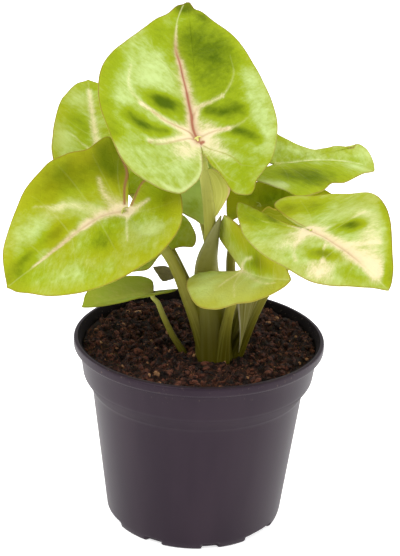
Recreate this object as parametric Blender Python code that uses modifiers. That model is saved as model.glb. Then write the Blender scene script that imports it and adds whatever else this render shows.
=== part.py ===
"""Arrowhead plant (Syngonium) in a nine-centimetre nursery pot.

Millimetres in the named values below, metres in the scene. The origin is the
centre of the pot's underside, +Z is up and -Y is the side the plant faces.
"""

from collections import namedtuple
from math import atan2, cos, pi, radians, sin

import bmesh
import bpy
from mathutils import Matrix, Vector, noise

MM = 0.001
GAP = 0.3

# Pot: radii and heights of its turned profile.
POT_HEIGHT = 70.0
RIM_RADIUS = 45.0
LIP_WIDTH = 2.2
LIP_DROP = 3.4
LIP_ROUND = 0.9
LIP_FLAT = 0.8
COLLAR_STEP = 1.0
COLLAR_TOP_RADIUS = 42.9
COLLAR_LOW_RADIUS = 41.5
COLLAR_LOW = 56.0
WALL_TOP_RADIUS = 38.3
WALL_TOP = 51.0
FOOT_RADIUS = 32.4
FOOT_ROUND = 2.4
FLOOR_ROUND = 0.6
WALL = 1.3
FLOOR = 1.6
POT_STEPS = 60

# Notches moulded into the foot: (angle from the front, width of the arc) in degrees.
FOOT_NOTCHES = (
    (-67.5, 25.0), (-26.0, 11.0), (12.0, 11.0), (50.0, 25.0), (92.0, 11.0),
    (132.0, 11.0), (172.0, 25.0), (-148.0, 11.0), (-107.0, 11.0),
)
NOTCH_HEIGHT = 2.2
NOTCH_DEPTH = 1.6

# Potting soil: mean level, how rough it is and how wide its lumps and crumbs are.
SOIL_LEVEL = 66.9
SOIL_BUMP = 1.3
SOIL_LUMPS = 9.0
SOIL_CRUMBS = 4.0
SOIL_AROUND = 48
SOIL_RINGS = 8

# Crown, where the leaf sheaths grow together, and the holes it and the small stem stand in.
CROWN = (8.0, -10.5)
CROWN_RADIUS = 7.0
CROWN_LOW = 56.0
CROWN_TOP = 65.5
CROWN_HOLE_RADIUS = 10.4
SMALL_STEM_BASE = (-4.6, -8.7)
SMALL_HOLE_RADIUS = 2.6
HOLE_LENGTH = 40.0

BLADE = 0.8
BLADE_AROUND = 36
BLADE_RINGS = 5

# One leaf blade. joint: where the petiole meets it. turn: heading of the tip from +X, its
# pitch and the roll about it, in degrees. tip: length from the joint. left and right:
# margin points (along, across) from the tip to the sinus. fold: slope of each half up from
# the midrib. curl: how fast each half bends back down, per mm. droop and back: the same
# lengthwise, before and behind the joint. twist: per mm. wave: height, count and phase of
# the ripple in the margin.
Leaf = namedtuple("Leaf", "joint turn tip left right fold curl droop back twist wave")

LEAVES = {
    "leaf_top": Leaf(
        (-2.2, -5.0, 143.1), (97, 38, 5), 64.5,
        ((54, 10), (40, 24.5), (26, 33), (12, 34.5), (-4, 31.5), (-15, 26), (-20, 17), (-21.2, 9.6),
         (-20.6, 6.6), (-18.5, 4.3), (-15.3, 1.2), (-12.1, -0.2), (-9.8, -0.5), (-5, -0.3)),
        ((57, -6), (44, -18), (29, -25), (13, -28.5), (-3, -25.5), (-10.5, -21.8), (-14.8, -18.6),
         (-18.5, -17.5), (-20.4, -15.3), (-20.2, -11.9), (-18.8, -9.9), (-15.2, -7.8), (-11.9, -6),
         (-9.8, -3.7), (-5.2, -1.3)),
        (0.24, 0.18), (0.001, 0.008), 0.0008, 0.0045, 0.0, (0.5, 4, 0.4)),
    "leaf_left": Leaf(
        (-25.8, -14.0, 120.1), (197, -24, -35), 48.0,
        ((42.5, 7), (33, 16.5), (19, 24), (3, 24.3), (-10, 19.7), (-16, 12), (-18.5, 4), (-17, -3),
         (-10, -7), (-2.5, -1.6)),
        ((43, -11), (31, -21.5), (20, -27.5), (10, -28), (1.5, -25.5), (-6.5, -25.5), (-7, -17.5),
         (-6.8, -12), (-3.2, -8), (-0.6, -3)),
        (0.28, 0.33), (0.0028, 0.001), 0.0045, -0.006, 0.0, (0.4, 4, 1.0)),
    "leaf_back_left": Leaf(
        (-38.4, 22.0, 129.1), (100, 37, 3), 41.5,
        ((36.5, 5), (29, 10), (20.5, 13.5), (6, 16.5), (-4.5, 17.5), (-13, 15), (-17, 9), (-13, 3),
         (-3, 0.6)),
        ((36, -7), (28, -14), (18, -19), (6, -21), (-6, -20.5), (-15, -16), (-18, -9), (-13, -3.5),
         (-3, -0.8)),
        (0.30, 0.24), (0.0, 0.0027), 0.0052, 0.0, 0.0, (0.5, 4, 2.0)),
    "leaf_right_high": Leaf(
        (25.9, 24.0, 127.5), (27, -1, 6), 42.6,
        ((45.6, 5.5), (44.8, 10), (41.5, 12.1), (38, 10.1), (34, 9.8), (30.5, 10.2), (24.9, 9.1),
         (20, 8.6), (15.2, 10.6), (11.5, 13.3), (8.6, 17), (7.5, 22), (2, 25), (-5, 20), (-7, 12),
         (-5, 5), (-2, 0.8)),
        ((40.7, -3.6), (33.7, -8.1), (26.8, -12), (19, -16.2), (13, -17.6), (7.7, -21.1), (3.9, -23.4),
         (-4.6, -25.4), (-9, -20.5), (-13, -17), (-16.5, -12), (-12, -5), (-3, -1)),
        (0.34, 0.17), (0.003, 0.010), 0.0033, 0.002, 0.0041, (0.3, 5, 0.0)),
    "leaf_right_low": Leaf(
        (34.7, -26.3, 120.3), (-60, 6, 9), 41.8,
        ((39.4, 3.8), (33.1, 9.6), (23.5, 16.8), (13, 21.6), (1.9, 23), (-10.6, 19.4), (-18.7, 12),
         (-22.1, 6.7), (-21.6, 1), (-15.4, 0.8), (-2.9, 0.6)),
        ((36, -6.7), (29.3, -15.4), (22.1, -19.2), (9.6, -22.6), (-5.8, -20.6), (-18.2, -15.4),
         (-25.9, -10.6), (-18.2, -10.1), (-11, -7.7), (-2.4, -1.5)),
        (0.32, 0.08), (0.00167, 0.00094), 0.00625, -0.0081, 0.0057, (0.3, 5, 1.5)),
    "leaf_front": Leaf(
        (13.6, -22.6, 103.9), (-60, 14, 44), 30.3,
        ((27.8, 3), (20.7, 5), (8.8, 7.9), (-1.5, 11.1), (-8.5, 12.8), (-11, 12.7), (-14.6, 10.5),
         (-15.2, 7.4), (-12.4, 5.9), (-8.6, 3.9), (-5, 2.1)),
        ((28.3, -4), (21.2, -10.6), (15.1, -14.1), (10.6, -18.7), (3.5, -20.2), (-6.8, -16.2),
         (-14.1, -10.9), (-15.5, -5.1), (-8.1, -2.8), (-2.5, -0.9)),
        (0.98, 0.52), (-0.015, 0.0025), 0.0, -0.002, 0.014, (0.0, 4, 0.0)),
    "leaf_low_left": Leaf(
        (-16.7, -7.0, 88.2), (212, 2, 4.5), 28.0,
        ((23, 3), (18.5, 7), (13, 10.5), (6, 11.5), (-1, 10), (-5, 6.5), (-5.6, 1.8), (-4.9, -1.4),
         (-2.3, -1)),
        ((22, -7.5), (16, -12), (9, -14.5), (1, -14.8), (-4.6, -14), (-7, -12.9), (-5, -9.2),
         (-1.5, -2.8)),
        (0.31, 0.26), (-0.002, 0.0036), 0.0012, -0.0117, -0.0041, (0.2, 4, 0.0)),
    "leaf_young": Leaf(
        (0.9, 7.0, 119.5), (96, 52, 0), 33.0,
        ((27, 4), (19, 8), (10, 10.5), (1, 11), (-4, 10.4), (-6.8, 8.7), (-8.8, 4.6), (-10.3, 1.2),
         (-6, 0.45), (-2, 0.12)),
        ((27, -4), (19, -8), (10, -10), (4, -9.5), (1.4, -8.1), (-1.8, -6.6), (-3.8, -5.2),
         (-6.9, -3.4), (-7, -1.6), (-2, -0.3)),
        (0.35, 0.35), (0.004, 0.004), 0.002, 0.004, 0.0, (0.3, 5, 0.5)),
    "leaf_behind_left": Leaf(
        (-15.0, 2.0, 106.2), (200, -14, -22), 29.0,
        ((24, 5), (18, 9), (13, 11.3), (8.5, 11.9), (3, 8.4), (-1, 8.1), (-5, 8.2), (-9, 9.3),
         (-11.6, 5.4), (-12.1, -0.7), (-11.6, -4), (-9.6, -6.6), (-5.6, -5.2), (-1.5, -1.2)),
        ((24, -6), (17, -12), (9, -15), (1, -15), (-5, -14), (-8, -11.5), (-5, -7.6), (-1.1, -2)),
        (0.10, 0.25), (0.012, 0.004), 0.004, 0.0, 0.0, (0.4, 4, 0.8)),
    "leaf_back_right": Leaf(
        (19.2, 18.0, 113.3), (20, 4, 40), 33.5,
        ((27, 4.5), (19, 7.5), (9, 9), (0, 9), (-7, 8), (-9.6, 6), (-11, 2), (-12, -2), (-12, -4.6),
         (-7, -2.7), (-2, -0.78)),
        ((27, -4), (18, -7.5), (9, -8.5), (-0.7, -7.6), (-4.8, -7), (-6.5, -6.4), (-4, -4),
         (-1.5, -1.5)),
        (0.20, 0.20), (0.006, 0.006), 0.003, 0.004, 0.0, (0.4, 4, 0.0)),
    "leaf_back": Leaf(
        (-4.0, 31.0, 120.0), (92, 14, -3), 40.0,
        ((35, 5), (26, 12), (15, 17), (3, 18.5), (-7, 16), (-13, 10), (-12, 4), (-7, 1.5), (-2, 0.7)),
        ((35, -5), (26, -12), (15, -17), (3, -18.5), (-7, -16), (-13, -10), (-12, -4), (-7, -1.5),
         (-2, -0.7)),
        (0.22, 0.22), (0.005, 0.005), 0.006, 0.003, 0.0, (0.6, 4, 0.0)),
    "leaf_withered": Leaf(
        (-9.2, -3.0, 93.2), (184, 24, -58), 8.6,
        ((7, 1.25), (4.4, 3.2), (3.1, 3.4), (1.7, 2.3), (0.3, 1.2)),
        ((4.8, -1.9), (2, -1.8), (0.4, -0.9)),
        (0.15, 0.25), (0.0, 0.0), 0.0, 0.0, 0.0, (0.2, 3, 0.0)),
}

# Petioles: the route's points from the crown up, and the radii along it. The last point isn't
# in the route: it lies TOP_CLEAR below the blade's joint.
Petiole = namedtuple("Petiole", "route radii")

PETIOLES = {
    "leaf_top": Petiole(
        ((6, -14, 60), (4.6, -12.2, 80), (2.9, -9.4, 98), (2.4, -8, 114), (1, -6.8, 126),
         (-0.8, -5.8, 135)),
        (2.6, 1.5)),
    "leaf_left": Petiole(
        ((5.2, -13, 60), (1.2, -13.2, 74), (-3.6, -13.3, 87), (-9.9, -13.6, 102.6), (-18, -14, 113)),
        (2.5, 1.5)),
    "leaf_right_low": Petiole(
        ((10.8, -10, 60), (16, -12, 76.3), (21.7, -15, 91.7), (28, -20, 104), (32.5, -24, 113)),
        (1.9, 1.2)),
    "leaf_right_high": Petiole(
        ((10, -9, 60), (13.4, -2, 76), (17, 13, 92), (20, 26, 107), (23.5, 30.5, 118)),
        (1.9, 1.2)),
    "leaf_front": Petiole(
        ((8, -15.5, 60), (8.8, -17, 77), (10.6, -20, 90), (12.4, -22, 98)),
        (2.0, 1.2)),
    "leaf_behind_left": Petiole(
        ((4.6, -9.5, 60), (-0.2, -5.5, 76), (-5.4, -1.4, 89), (-10.6, 1, 98.5)),
        (1.7, 1.1)),
    "leaf_back_left": Petiole(
        ((5.4, -7, 60), (1, 0, 74), (-6.6, 8, 90), (-18, 16.5, 107), (-31, 21, 121.5)),
        (1.8, 1.2)),
    "leaf_young": Petiole(
        ((7.4, -7, 60), (5, -3, 82), (3.2, 0.5, 100), (1.8, 4, 110)),
        (1.8, 1.1)),
    "leaf_back_right": Petiole(
        ((10.4, -7, 60), (11.3, 0, 80), (10.4, 6.5, 98), (13.5, 13, 105.5)),
        (2.0, 1.2)),
    "leaf_back": Petiole(
        ((8.4, -7, 60), (7.4, -3, 76), (3, 12, 97), (-2, 25, 112)),
        (1.9, 1.2)),
}
SMALL_PETIOLE = Petiole(
    ((-3.2, -8.8, 59), (-5.2, -8.7, 66), (-9.4, -8.5, 73), (-12.8, -8.2, 80), (-14.8, -7.6, 84.6)),
    (1.3, 0.7))
TOP_CLEAR = 2.0

# Leaf sheath that wraps the foot of the top leaf's petiole, like a second, shorter stem.
SHEATH = ((6.9, -12.6, 60), (4.3, -11.4, 82), (2.2, -9, 100), (2.2, -6.4, 108.5), (3.5, -4.2, 115.4))
SHEATH_RADII = (5.2, 4.6, 4.1, 2.5, 1.1)
PETIOLE_POINTS = 10
PETIOLE_RESOLUTION = 3

LEAF_COLOURS = {
    "leaf_right_low": (0.72, 0.74, 0.45),
    "leaf_back_right": (0.22, 0.32, 0.05),
    "leaf_behind_left": (0.30, 0.42, 0.08),
    "leaf_withered": (0.20, 0.17, 0.08),
}
LEAF_COLOUR = (0.42, 0.56, 0.12)


def mm(values):
    """Millimetres to a vector in metres."""
    return Vector(values) * MM


def clear_scene():
    """Remove what a new file starts with."""
    for obj in list(bpy.data.objects):
        bpy.data.objects.remove(obj)


def material(name, colour, roughness):
    mat = bpy.data.materials.new(name)
    mat.use_nodes = True
    shader = mat.node_tree.nodes["Principled BSDF"]
    shader.inputs["Base Color"].default_value = (*colour, 1.0)
    shader.inputs["Roughness"].default_value = roughness
    return mat


def add_object(name, mesh, collection, mat=None):
    obj = bpy.data.objects.new(name, mesh)
    collection.objects.link(obj)
    if mat:
        mesh.materials.append(mat)
    return obj


def move_to(obj, collection):
    """Take an object out of the collections it was made in and put it in another."""
    for owner in list(obj.users_collection):
        owner.objects.unlink(obj)
    collection.objects.link(obj)


def as_cutter(obj, name, collection):
    obj.name = name
    obj.hide_render = True
    obj.display_type = "WIRE"
    move_to(obj, collection)


def boolean(obj, operation, collection):
    """Cut a collection's objects from an object, or join them to it."""
    mod = obj.modifiers.new(operation.lower(), "BOOLEAN")
    mod.operation = operation
    mod.operand_type = "COLLECTION"
    mod.collection = collection
    mod.solver = "EXACT"


def catmull(a, b, c, d, f):
    """Point a share f of the way from b to c on the Catmull-Rom curve through all four."""
    return 0.5 * (2 * b + (c - a) * f + (2 * a - 5 * b + 4 * c - d) * f * f
                  + (3 * b - a - 3 * c + d) * f ** 3)


def spline(points, count):
    """Evenly timed points on a Catmull-Rom curve through the given ones."""
    pts = [Vector(p) for p in points]
    pts = [2 * pts[0] - pts[1]] + pts + [2 * pts[-1] - pts[-2]]
    spans = len(pts) - 3
    curve = []
    for i in range(count):
        t = spans * i / (count - 1)
        k = min(int(t), spans - 1)
        curve.append(catmull(*pts[k:k + 4], t - k))
    return curve


def between(values, share):
    """Value at a share of the way along an evenly spaced list."""
    where = share * (len(values) - 1)
    k = min(int(where), len(values) - 2)
    return values[k] + (values[k + 1] - values[k]) * (where - k)


# ---------------------------------------------------------------- pot

def pot_profile():
    """Half section (radius, height): up the inside, over the lip and down the outside."""
    lip_inner = RIM_RADIUS - LIP_WIDTH
    lip_mid = RIM_RADIUS - LIP_WIDTH / 2
    under_lip = POT_HEIGHT - LIP_DROP
    return [
        (0, FLOOR),
        (FOOT_RADIUS - WALL - FLOOR_ROUND, FLOOR),
        (WALL_TOP_RADIUS - WALL, WALL_TOP),
        (COLLAR_LOW_RADIUS - WALL, COLLAR_LOW + COLLAR_STEP),
        (COLLAR_TOP_RADIUS - WALL + LIP_FLAT / 2, under_lip),
        (lip_inner, POT_HEIGHT - LIP_ROUND),
        (lip_mid - LIP_FLAT / 2, POT_HEIGHT),
        (lip_mid + LIP_FLAT / 2, POT_HEIGHT),
        (RIM_RADIUS, POT_HEIGHT - LIP_ROUND),
        (RIM_RADIUS, under_lip + LIP_FLAT / 2),
        (COLLAR_TOP_RADIUS, under_lip - COLLAR_STEP / 2),
        (COLLAR_LOW_RADIUS, COLLAR_LOW),
        (WALL_TOP_RADIUS, WALL_TOP),
        (FOOT_RADIUS, FOOT_ROUND),
        (FOOT_RADIUS - 0.3 * FOOT_ROUND, 0.3 * FOOT_ROUND),
        (FOOT_RADIUS - FOOT_ROUND, 0),
        (0, 0),
    ]


def foot_notch(angle, arc, collection):
    """Block that cuts one notch out of the foot's corner."""
    bpy.ops.mesh.primitive_cube_add(size=1)
    block = bpy.context.object
    width = 2 * FOOT_RADIUS * sin(radians(arc / 2))
    block.scale = (width * MM, 4 * NOTCH_DEPTH * MM, 2 * NOTCH_HEIGHT * MM)
    reach = FOOT_RADIUS + NOTCH_DEPTH
    block.location = mm((reach * sin(radians(angle)), -reach * cos(radians(angle)), 0))
    block.rotation_euler = (0, 0, radians(angle))
    as_cutter(block, "notch", collection)


def make_pot(collection, cutters):
    """Thin-walled pot turned from its profile, with notches in its foot."""
    mesh = bpy.data.meshes.new("pot")
    points = [mm((r, 0, z)) for r, z in pot_profile()]
    edges = [(i, i + 1) for i in range(len(points) - 1)]
    mesh.from_pydata(points, edges, [])
    pot = add_object("pot", mesh, collection, material("pot_plastic", (0.085, 0.072, 0.085), 0.5))
    screw = pot.modifiers.new("turn", "SCREW")
    screw.steps = POT_STEPS
    screw.render_steps = POT_STEPS
    screw.use_merge_vertices = True
    screw.merge_threshold = 0.00001
    for angle, arc in FOOT_NOTCHES:
        foot_notch(angle, arc, cutters)
    boolean(pot, "DIFFERENCE", cutters)
    return pot


# ---------------------------------------------------------------- soil

def inner_radius(z):
    """Radius of the pot's inner wall at a height, from its profile."""
    wall = pot_profile()[1:6]
    for (r0, z0), (r1, z1) in zip(wall, wall[1:]):
        if z <= z1:
            return r0 + (r1 - r0) * (z - z0) / (z1 - z0)
    return wall[-1][0]


def soil_height(x, y):
    """Height of the crumbly surface at a place."""
    place = Vector((x, y, 30.0))
    lumps = noise.noise(place / SOIL_LUMPS)
    crumbs = noise.noise(place / SOIL_CRUMBS)
    return SOIL_LEVEL + SOIL_BUMP * (lumps + 0.6 * crumbs)


def soil_profile():
    """Rings (radius, z) from the top's centre to the underside's; z is None on the rough top."""
    edge = inner_radius(SOIL_LEVEL - 2 * SOIL_BUMP) - GAP
    low = FLOOR + GAP
    corner = COLLAR_LOW + COLLAR_STEP
    return [(edge * i / SOIL_RINGS, None) for i in range(SOIL_RINGS + 1)] + [
        (inner_radius(corner) - GAP, corner - GAP),
        (inner_radius(WALL_TOP) - GAP, WALL_TOP - GAP),
        (inner_radius(low) - GAP, low),
        (0.0, low),
    ]


def make_soil(collection, cutters):
    """Round plug of soil that fills the pot, with holes for what grows out of it."""
    rings = soil_profile()
    bm = bmesh.new()
    bmesh.ops.create_uvsphere(bm, u_segments=SOIL_AROUND, v_segments=len(rings) - 1, radius=1)
    for vert in bm.verts:
        polar = vert.co.angle(Vector((0, 0, 1)))
        radius, z = rings[round(polar / pi * (len(rings) - 1))]
        heading = atan2(vert.co.y, vert.co.x)
        x, y = radius * cos(heading), radius * sin(heading)
        vert.co = mm((x, y, soil_height(x, y) if z is None else z))
    mesh = bpy.data.meshes.new("soil")
    bm.to_mesh(mesh)
    bm.free()
    soil = add_object("soil", mesh, collection, material("potting_soil", (0.045, 0.022, 0.014), 0.95))
    for name, centre, radius in (("crown_hole", CROWN, CROWN_HOLE_RADIUS),
                                 ("small_hole", SMALL_STEM_BASE, SMALL_HOLE_RADIUS)):
        bpy.ops.mesh.primitive_cylinder_add(vertices=24, radius=radius * MM, depth=HOLE_LENGTH * MM)
        hole = bpy.context.object
        hole.location = mm((*centre, CROWN_LOW - 2 * GAP + HOLE_LENGTH / 2))
        as_cutter(hole, name, cutters)
    boolean(soil, "DIFFERENCE", cutters)
    return soil


# ---------------------------------------------------------------- stems

def petiole_route(petiole, leaf):
    """The petiole's points, ended just under the blade's joint."""
    below = Vector(leaf.joint) - TOP_CLEAR * leaf_frame(leaf).col[2]
    return list(petiole.route) + [below]


def tube(name, route, radii, collection, mat=None):
    """Closed tube along a smooth curve through the route's points; the radii are spread along it."""
    curve = bpy.data.curves.new(name, "CURVE")
    curve.dimensions = "3D"
    curve.bevel_depth = MM
    curve.bevel_resolution = PETIOLE_RESOLUTION
    curve.use_fill_caps = True
    line = curve.splines.new("POLY")
    line.points.add(PETIOLE_POINTS - 1)
    for i, place in enumerate(spline(route, PETIOLE_POINTS)):
        line.points[i].co = (*mm(place), 1)
        line.points[i].radius = between(radii, i / (PETIOLE_POINTS - 1))
    guide = bpy.data.objects.new(name, curve)
    collection.objects.link(guide)
    bpy.context.view_layer.update()
    evaluated = guide.evaluated_get(bpy.context.evaluated_depsgraph_get())
    mesh = bpy.data.meshes.new_from_object(evaluated)
    bm = bmesh.new()
    bm.from_mesh(mesh)
    bmesh.ops.remove_doubles(bm, verts=bm.verts, dist=0.000001)
    bmesh.ops.recalc_face_normals(bm, faces=bm.faces)
    bm.to_mesh(mesh)
    bm.free()
    bpy.data.objects.remove(guide)
    return add_object(name, mesh, collection, mat)


def make_crown(collection, mat):
    """Short stump that every petiole is sunk into."""
    bpy.ops.mesh.primitive_cone_add(
        vertices=20, radius1=CROWN_RADIUS * MM, radius2=0.75 * CROWN_RADIUS * MM,
        depth=(CROWN_TOP - CROWN_LOW) * MM)
    crown = bpy.context.object
    crown.name = "stems"
    crown.data.name = "stems"
    crown.data.transform(Matrix.Translation(mm((*CROWN, (CROWN_TOP + CROWN_LOW) / 2))))
    move_to(crown, collection)
    crown.data.materials.append(mat)
    return crown


def make_stems(collection, mat):
    """The crown and every large petiole, grown together as one body."""
    crown = make_crown(collection, mat)
    parts = bpy.data.collections.new("petioles")
    bpy.context.scene.collection.children.link(parts)
    for name, petiole in PETIOLES.items():
        tube("petiole_" + name, petiole_route(petiole, LEAVES[name]), petiole.radii, parts)
    tube("sheath", SHEATH, SHEATH_RADII, parts)
    boolean(crown, "UNION", parts)
    bpy.context.view_layer.update()
    joined = bpy.data.meshes.new_from_object(crown.evaluated_get(bpy.context.evaluated_depsgraph_get()))
    crown.modifiers.clear()
    crown.data = joined
    for piece in list(parts.objects):
        bpy.data.objects.remove(piece)
    bpy.data.collections.remove(parts)
    return crown


# ---------------------------------------------------------------- leaves

def leaf_frame(leaf):
    """Matrix from the leaf's own (along, across, up) in millimetres to the plant."""
    heading, pitch, roll = (radians(a) for a in leaf.turn)
    along = Vector((cos(pitch) * cos(heading), cos(pitch) * sin(heading), sin(pitch)))
    level = Vector((-sin(heading), cos(heading), 0))
    up = along.cross(level)
    across = level * cos(roll) + up * sin(roll)
    up = along.cross(across)
    return Matrix((along, across, up)).transposed()


def surface_height(leaf, along, across):
    """How far the blade stands off its own plane at a place."""
    side = 0 if across >= 0 else 1
    bend = leaf.droop if along >= 0 else leaf.back
    return (leaf.fold[side] * abs(across) - leaf.curl[side] * across ** 2
            - bend * along ** 2 + leaf.twist * along * across)


def margin(leaf, share):
    """Margin point at share -1 (left sinus), 0 (tip) to 1 (right sinus)."""
    points = leaf.right if share > 0 else leaf.left
    stations = [(leaf.tip, 0.0)] + list(points)
    where = abs(share) * (len(stations) - 1)
    k = min(int(where), len(stations) - 2)
    b, c = Vector(stations[k]), Vector(stations[k + 1])
    a = Vector(stations[k - 1]) if k else 2 * b - c
    d = Vector(stations[min(k + 2, len(stations) - 1)])
    return catmull(a, b, c, d, where - k)


def blade_point(leaf, frame, share, ring):
    """Point of the blade's middle surface; ring 0 is the joint and 1 the margin."""
    along, across = margin(leaf, share) * ring
    height, count, phase = leaf.wave
    ripple = height * ring ** 2 * sin(count * pi * share + phase) * (1 - abs(share) ** 6)
    z = surface_height(leaf, along, across) + ripple
    return Vector(leaf.joint) + frame @ Vector((along, across, z))


def make_leaf(name, leaf, collection):
    """Blade fanned out from its joint, split into triangles and given its thickness."""
    frame = leaf_frame(leaf)
    bm = bmesh.new()
    bmesh.ops.create_grid(bm, x_segments=BLADE_AROUND, y_segments=BLADE_RINGS, size=1)
    for vert in bm.verts:
        share = vert.co.x
        ring = (vert.co.y + 1) / 2
        vert.co = blade_point(leaf, frame, share, ring) * MM
    bmesh.ops.remove_doubles(bm, verts=bm.verts, dist=0.00001)
    bmesh.ops.triangulate(bm, faces=bm.faces)
    bmesh.ops.recalc_face_normals(bm, faces=bm.faces)
    mesh = bpy.data.meshes.new(name)
    bm.to_mesh(mesh)
    bm.free()
    colour = LEAF_COLOURS.get(name, LEAF_COLOUR)
    blade = add_object(name, mesh, collection, material(name, colour, 0.4))
    solidify = blade.modifiers.new("thickness", "SOLIDIFY")
    solidify.thickness = BLADE * MM
    solidify.offset = 0
    return blade


def main():
    clear_scene()
    scene = bpy.context.scene
    plant = bpy.data.collections.new("arrowhead_plant")
    pot_cutters = bpy.data.collections.new("pot_cutters")
    soil_cutters = bpy.data.collections.new("soil_cutters")
    for collection in (plant, pot_cutters, soil_cutters):
        scene.collection.children.link(collection)
    stem_material = material("petiole", (0.25, 0.28, 0.06), 0.45)
    make_pot(plant, pot_cutters)
    make_soil(plant, soil_cutters)
    make_stems(plant, stem_material)
    small_route = petiole_route(SMALL_PETIOLE, LEAVES["leaf_low_left"])
    tube("small_petiole", small_route, SMALL_PETIOLE.radii, plant, stem_material)
    for name, leaf in LEAVES.items():
        make_leaf(name, leaf, plant)


main()
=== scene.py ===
"""Arrowhead plant in its nursery pot: the looks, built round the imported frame.

Named values are in millimetres unless a comment says otherwise; MM turns them into the
scene's metres. Leaf places are (along, across) from the petiole's joint, left positive.
"""

import random
from collections import namedtuple
from math import cos, pi, radians, sin, sqrt

import bmesh
import bpy
import numpy as np
from mathutils import Matrix, Vector, noise


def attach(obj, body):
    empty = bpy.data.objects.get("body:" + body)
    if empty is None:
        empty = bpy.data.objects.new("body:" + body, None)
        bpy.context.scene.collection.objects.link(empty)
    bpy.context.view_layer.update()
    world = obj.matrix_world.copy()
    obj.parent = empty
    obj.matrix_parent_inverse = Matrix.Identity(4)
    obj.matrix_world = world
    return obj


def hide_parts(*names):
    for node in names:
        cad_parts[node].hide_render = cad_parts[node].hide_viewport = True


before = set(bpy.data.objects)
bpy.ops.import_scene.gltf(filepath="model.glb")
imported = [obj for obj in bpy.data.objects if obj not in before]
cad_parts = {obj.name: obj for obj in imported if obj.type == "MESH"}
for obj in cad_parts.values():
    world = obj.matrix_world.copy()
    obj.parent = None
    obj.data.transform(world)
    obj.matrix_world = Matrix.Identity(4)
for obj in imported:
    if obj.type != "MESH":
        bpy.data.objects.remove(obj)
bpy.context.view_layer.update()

MM = 0.001
BODY = "root"

# ---- numbers and curves


def smooth(low, high, value):
    """Smooth step from 0 at low to 1 at high, for numbers and arrays."""
    t = np.clip((value - low) / (high - low), 0.0, 1.0)
    return t * t * (3 - 2 * t)


def bell(distance, width):
    """1 at no distance, falling off over the width."""
    return np.exp(-(distance / width)**2)


def spline(stations, where):
    """Catmull-Rom curve at places counted in stations from the second one."""
    k = np.minimum(where.astype(int), len(stations) - 4)
    f = (where - k)[:, None]
    a, b, c, d = (stations[k + step] for step in range(4))
    return 0.5 * (2 * b + (c - a) * f + (2 * a - 5 * b + 4 * c - d) * f**2
                  + (3 * b - a - 3 * c + d) * f**3)


def catmull(points, count):
    """Evenly timed points on a smooth curve through the given ones, as an array."""
    pts = np.array(points, float)
    pts = np.vstack([2 * pts[0] - pts[1], pts, 2 * pts[-1] - pts[-2]])
    return spline(pts, np.linspace(0, len(points) - 1, count))


def lumps(points, scale, seed):
    """Perlin noise, about -1 to 1, at every point of an array."""
    offset = Vector((seed * 3.7, seed * 1.3, seed * 7.1))
    return np.array([noise.noise(Vector(p) / scale + offset) for p in points])


# ---- meshes


def grid_faces(rows, width, shift=0):
    """Quads of a grid of vertices that begins at shift."""
    starts = [shift + i * width + j for i in range(rows - 1) for j in range(width - 1)]
    return [(k, k + 1, k + width + 1, k + width) for k in starts]


def grid_border(rows, width, shift=0):
    """Vertices of a grid's first row, last column and, going back, last row."""
    first = [shift + j for j in range(width)]
    column = [shift + (i + 1) * width - 1 for i in range(1, rows - 1)]
    last = [shift + rows * width - 1 - j for j in range(width)]
    return first + column + last


def ring_faces(rings, count, shift=0):
    """Quads between closed rings of vertices, count in each, that begin at shift."""
    faces = []
    for low in range(shift, shift + (rings - 1) * count, count):
        for j in range(count):
            k = (j + 1) % count
            faces.append((low + j, low + k, low + count + k, low + count + j))
    return faces


def fan_faces(centre, start, count):
    """Triangles from a centre to the closed ring of vertices that begins at start."""
    return [(centre, start + j, start + (j + 1) % count) for j in range(count)]


def mesh_object(name, points, faces, smooth_faces=True):
    """Mesh object from points in millimetres."""
    mesh = bpy.data.meshes.new(name)
    mesh.from_pydata((np.asarray(points) * MM).tolist(), [], faces)
    mesh.validate()
    mesh.polygons.foreach_set("use_smooth", [smooth_faces] * len(mesh.polygons))
    obj = bpy.data.objects.new(name, mesh)
    bpy.context.scene.collection.objects.link(obj)
    return obj


def closed_object(name, points, faces):
    """Mesh object with every face turned outward."""
    obj = mesh_object(name, points, faces)
    bm = bmesh.new()
    bm.from_mesh(obj.data)
    bmesh.ops.recalc_face_normals(bm, faces=bm.faces)
    bm.to_mesh(obj.data)
    bm.free()
    return obj


def surface_normals(points, faces):
    """Normals of a surface at its vertices."""
    mesh = bpy.data.meshes.new("probe")
    mesh.from_pydata(points.tolist(), [], faces)
    found = np.zeros(len(points) * 3)
    mesh.vertex_normals.foreach_get("vector", found)
    bpy.data.meshes.remove(mesh)
    return found.reshape(-1, 3)


def shell(name, middle, faces, border, above, below, turned=False):
    """Closed thin shell round a middle surface; turned swaps the side that is above."""
    count = len(middle)
    normals = surface_normals(middle, faces)
    if turned:
        normals, faces = -normals, [f[::-1] for f in faces]
    under = [tuple(v + count for v in f[::-1]) for f in faces]
    rim = [(a, b, b + count, a + count) for a, b in zip(border, border[1:] + border[:1])]
    points = np.vstack([middle + normals * above[:, None], middle - normals * below[:, None]])
    return closed_object(name, points, faces + under + rim)


def twice(values):
    """Values for both sides of a shell."""
    return np.concatenate([values, values])


def put_values(obj, **layers):
    """Store a number or a triple for every vertex, for the material to read."""
    for name, values in layers.items():
        kind, field = ("FLOAT", "value") if values.ndim == 1 else ("FLOAT_VECTOR", "vector")
        layer = obj.data.attributes.new(name, kind, "POINT")
        layer.data.foreach_set(field, values.astype(np.float32).ravel())


def dress(obj, material, node):
    """Give a piece its material, hang it on the body and hide the CAD node that it stands for."""
    obj.data.materials.append(material)
    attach(obj, BODY)
    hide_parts(node)


# ---- material graphs


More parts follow.
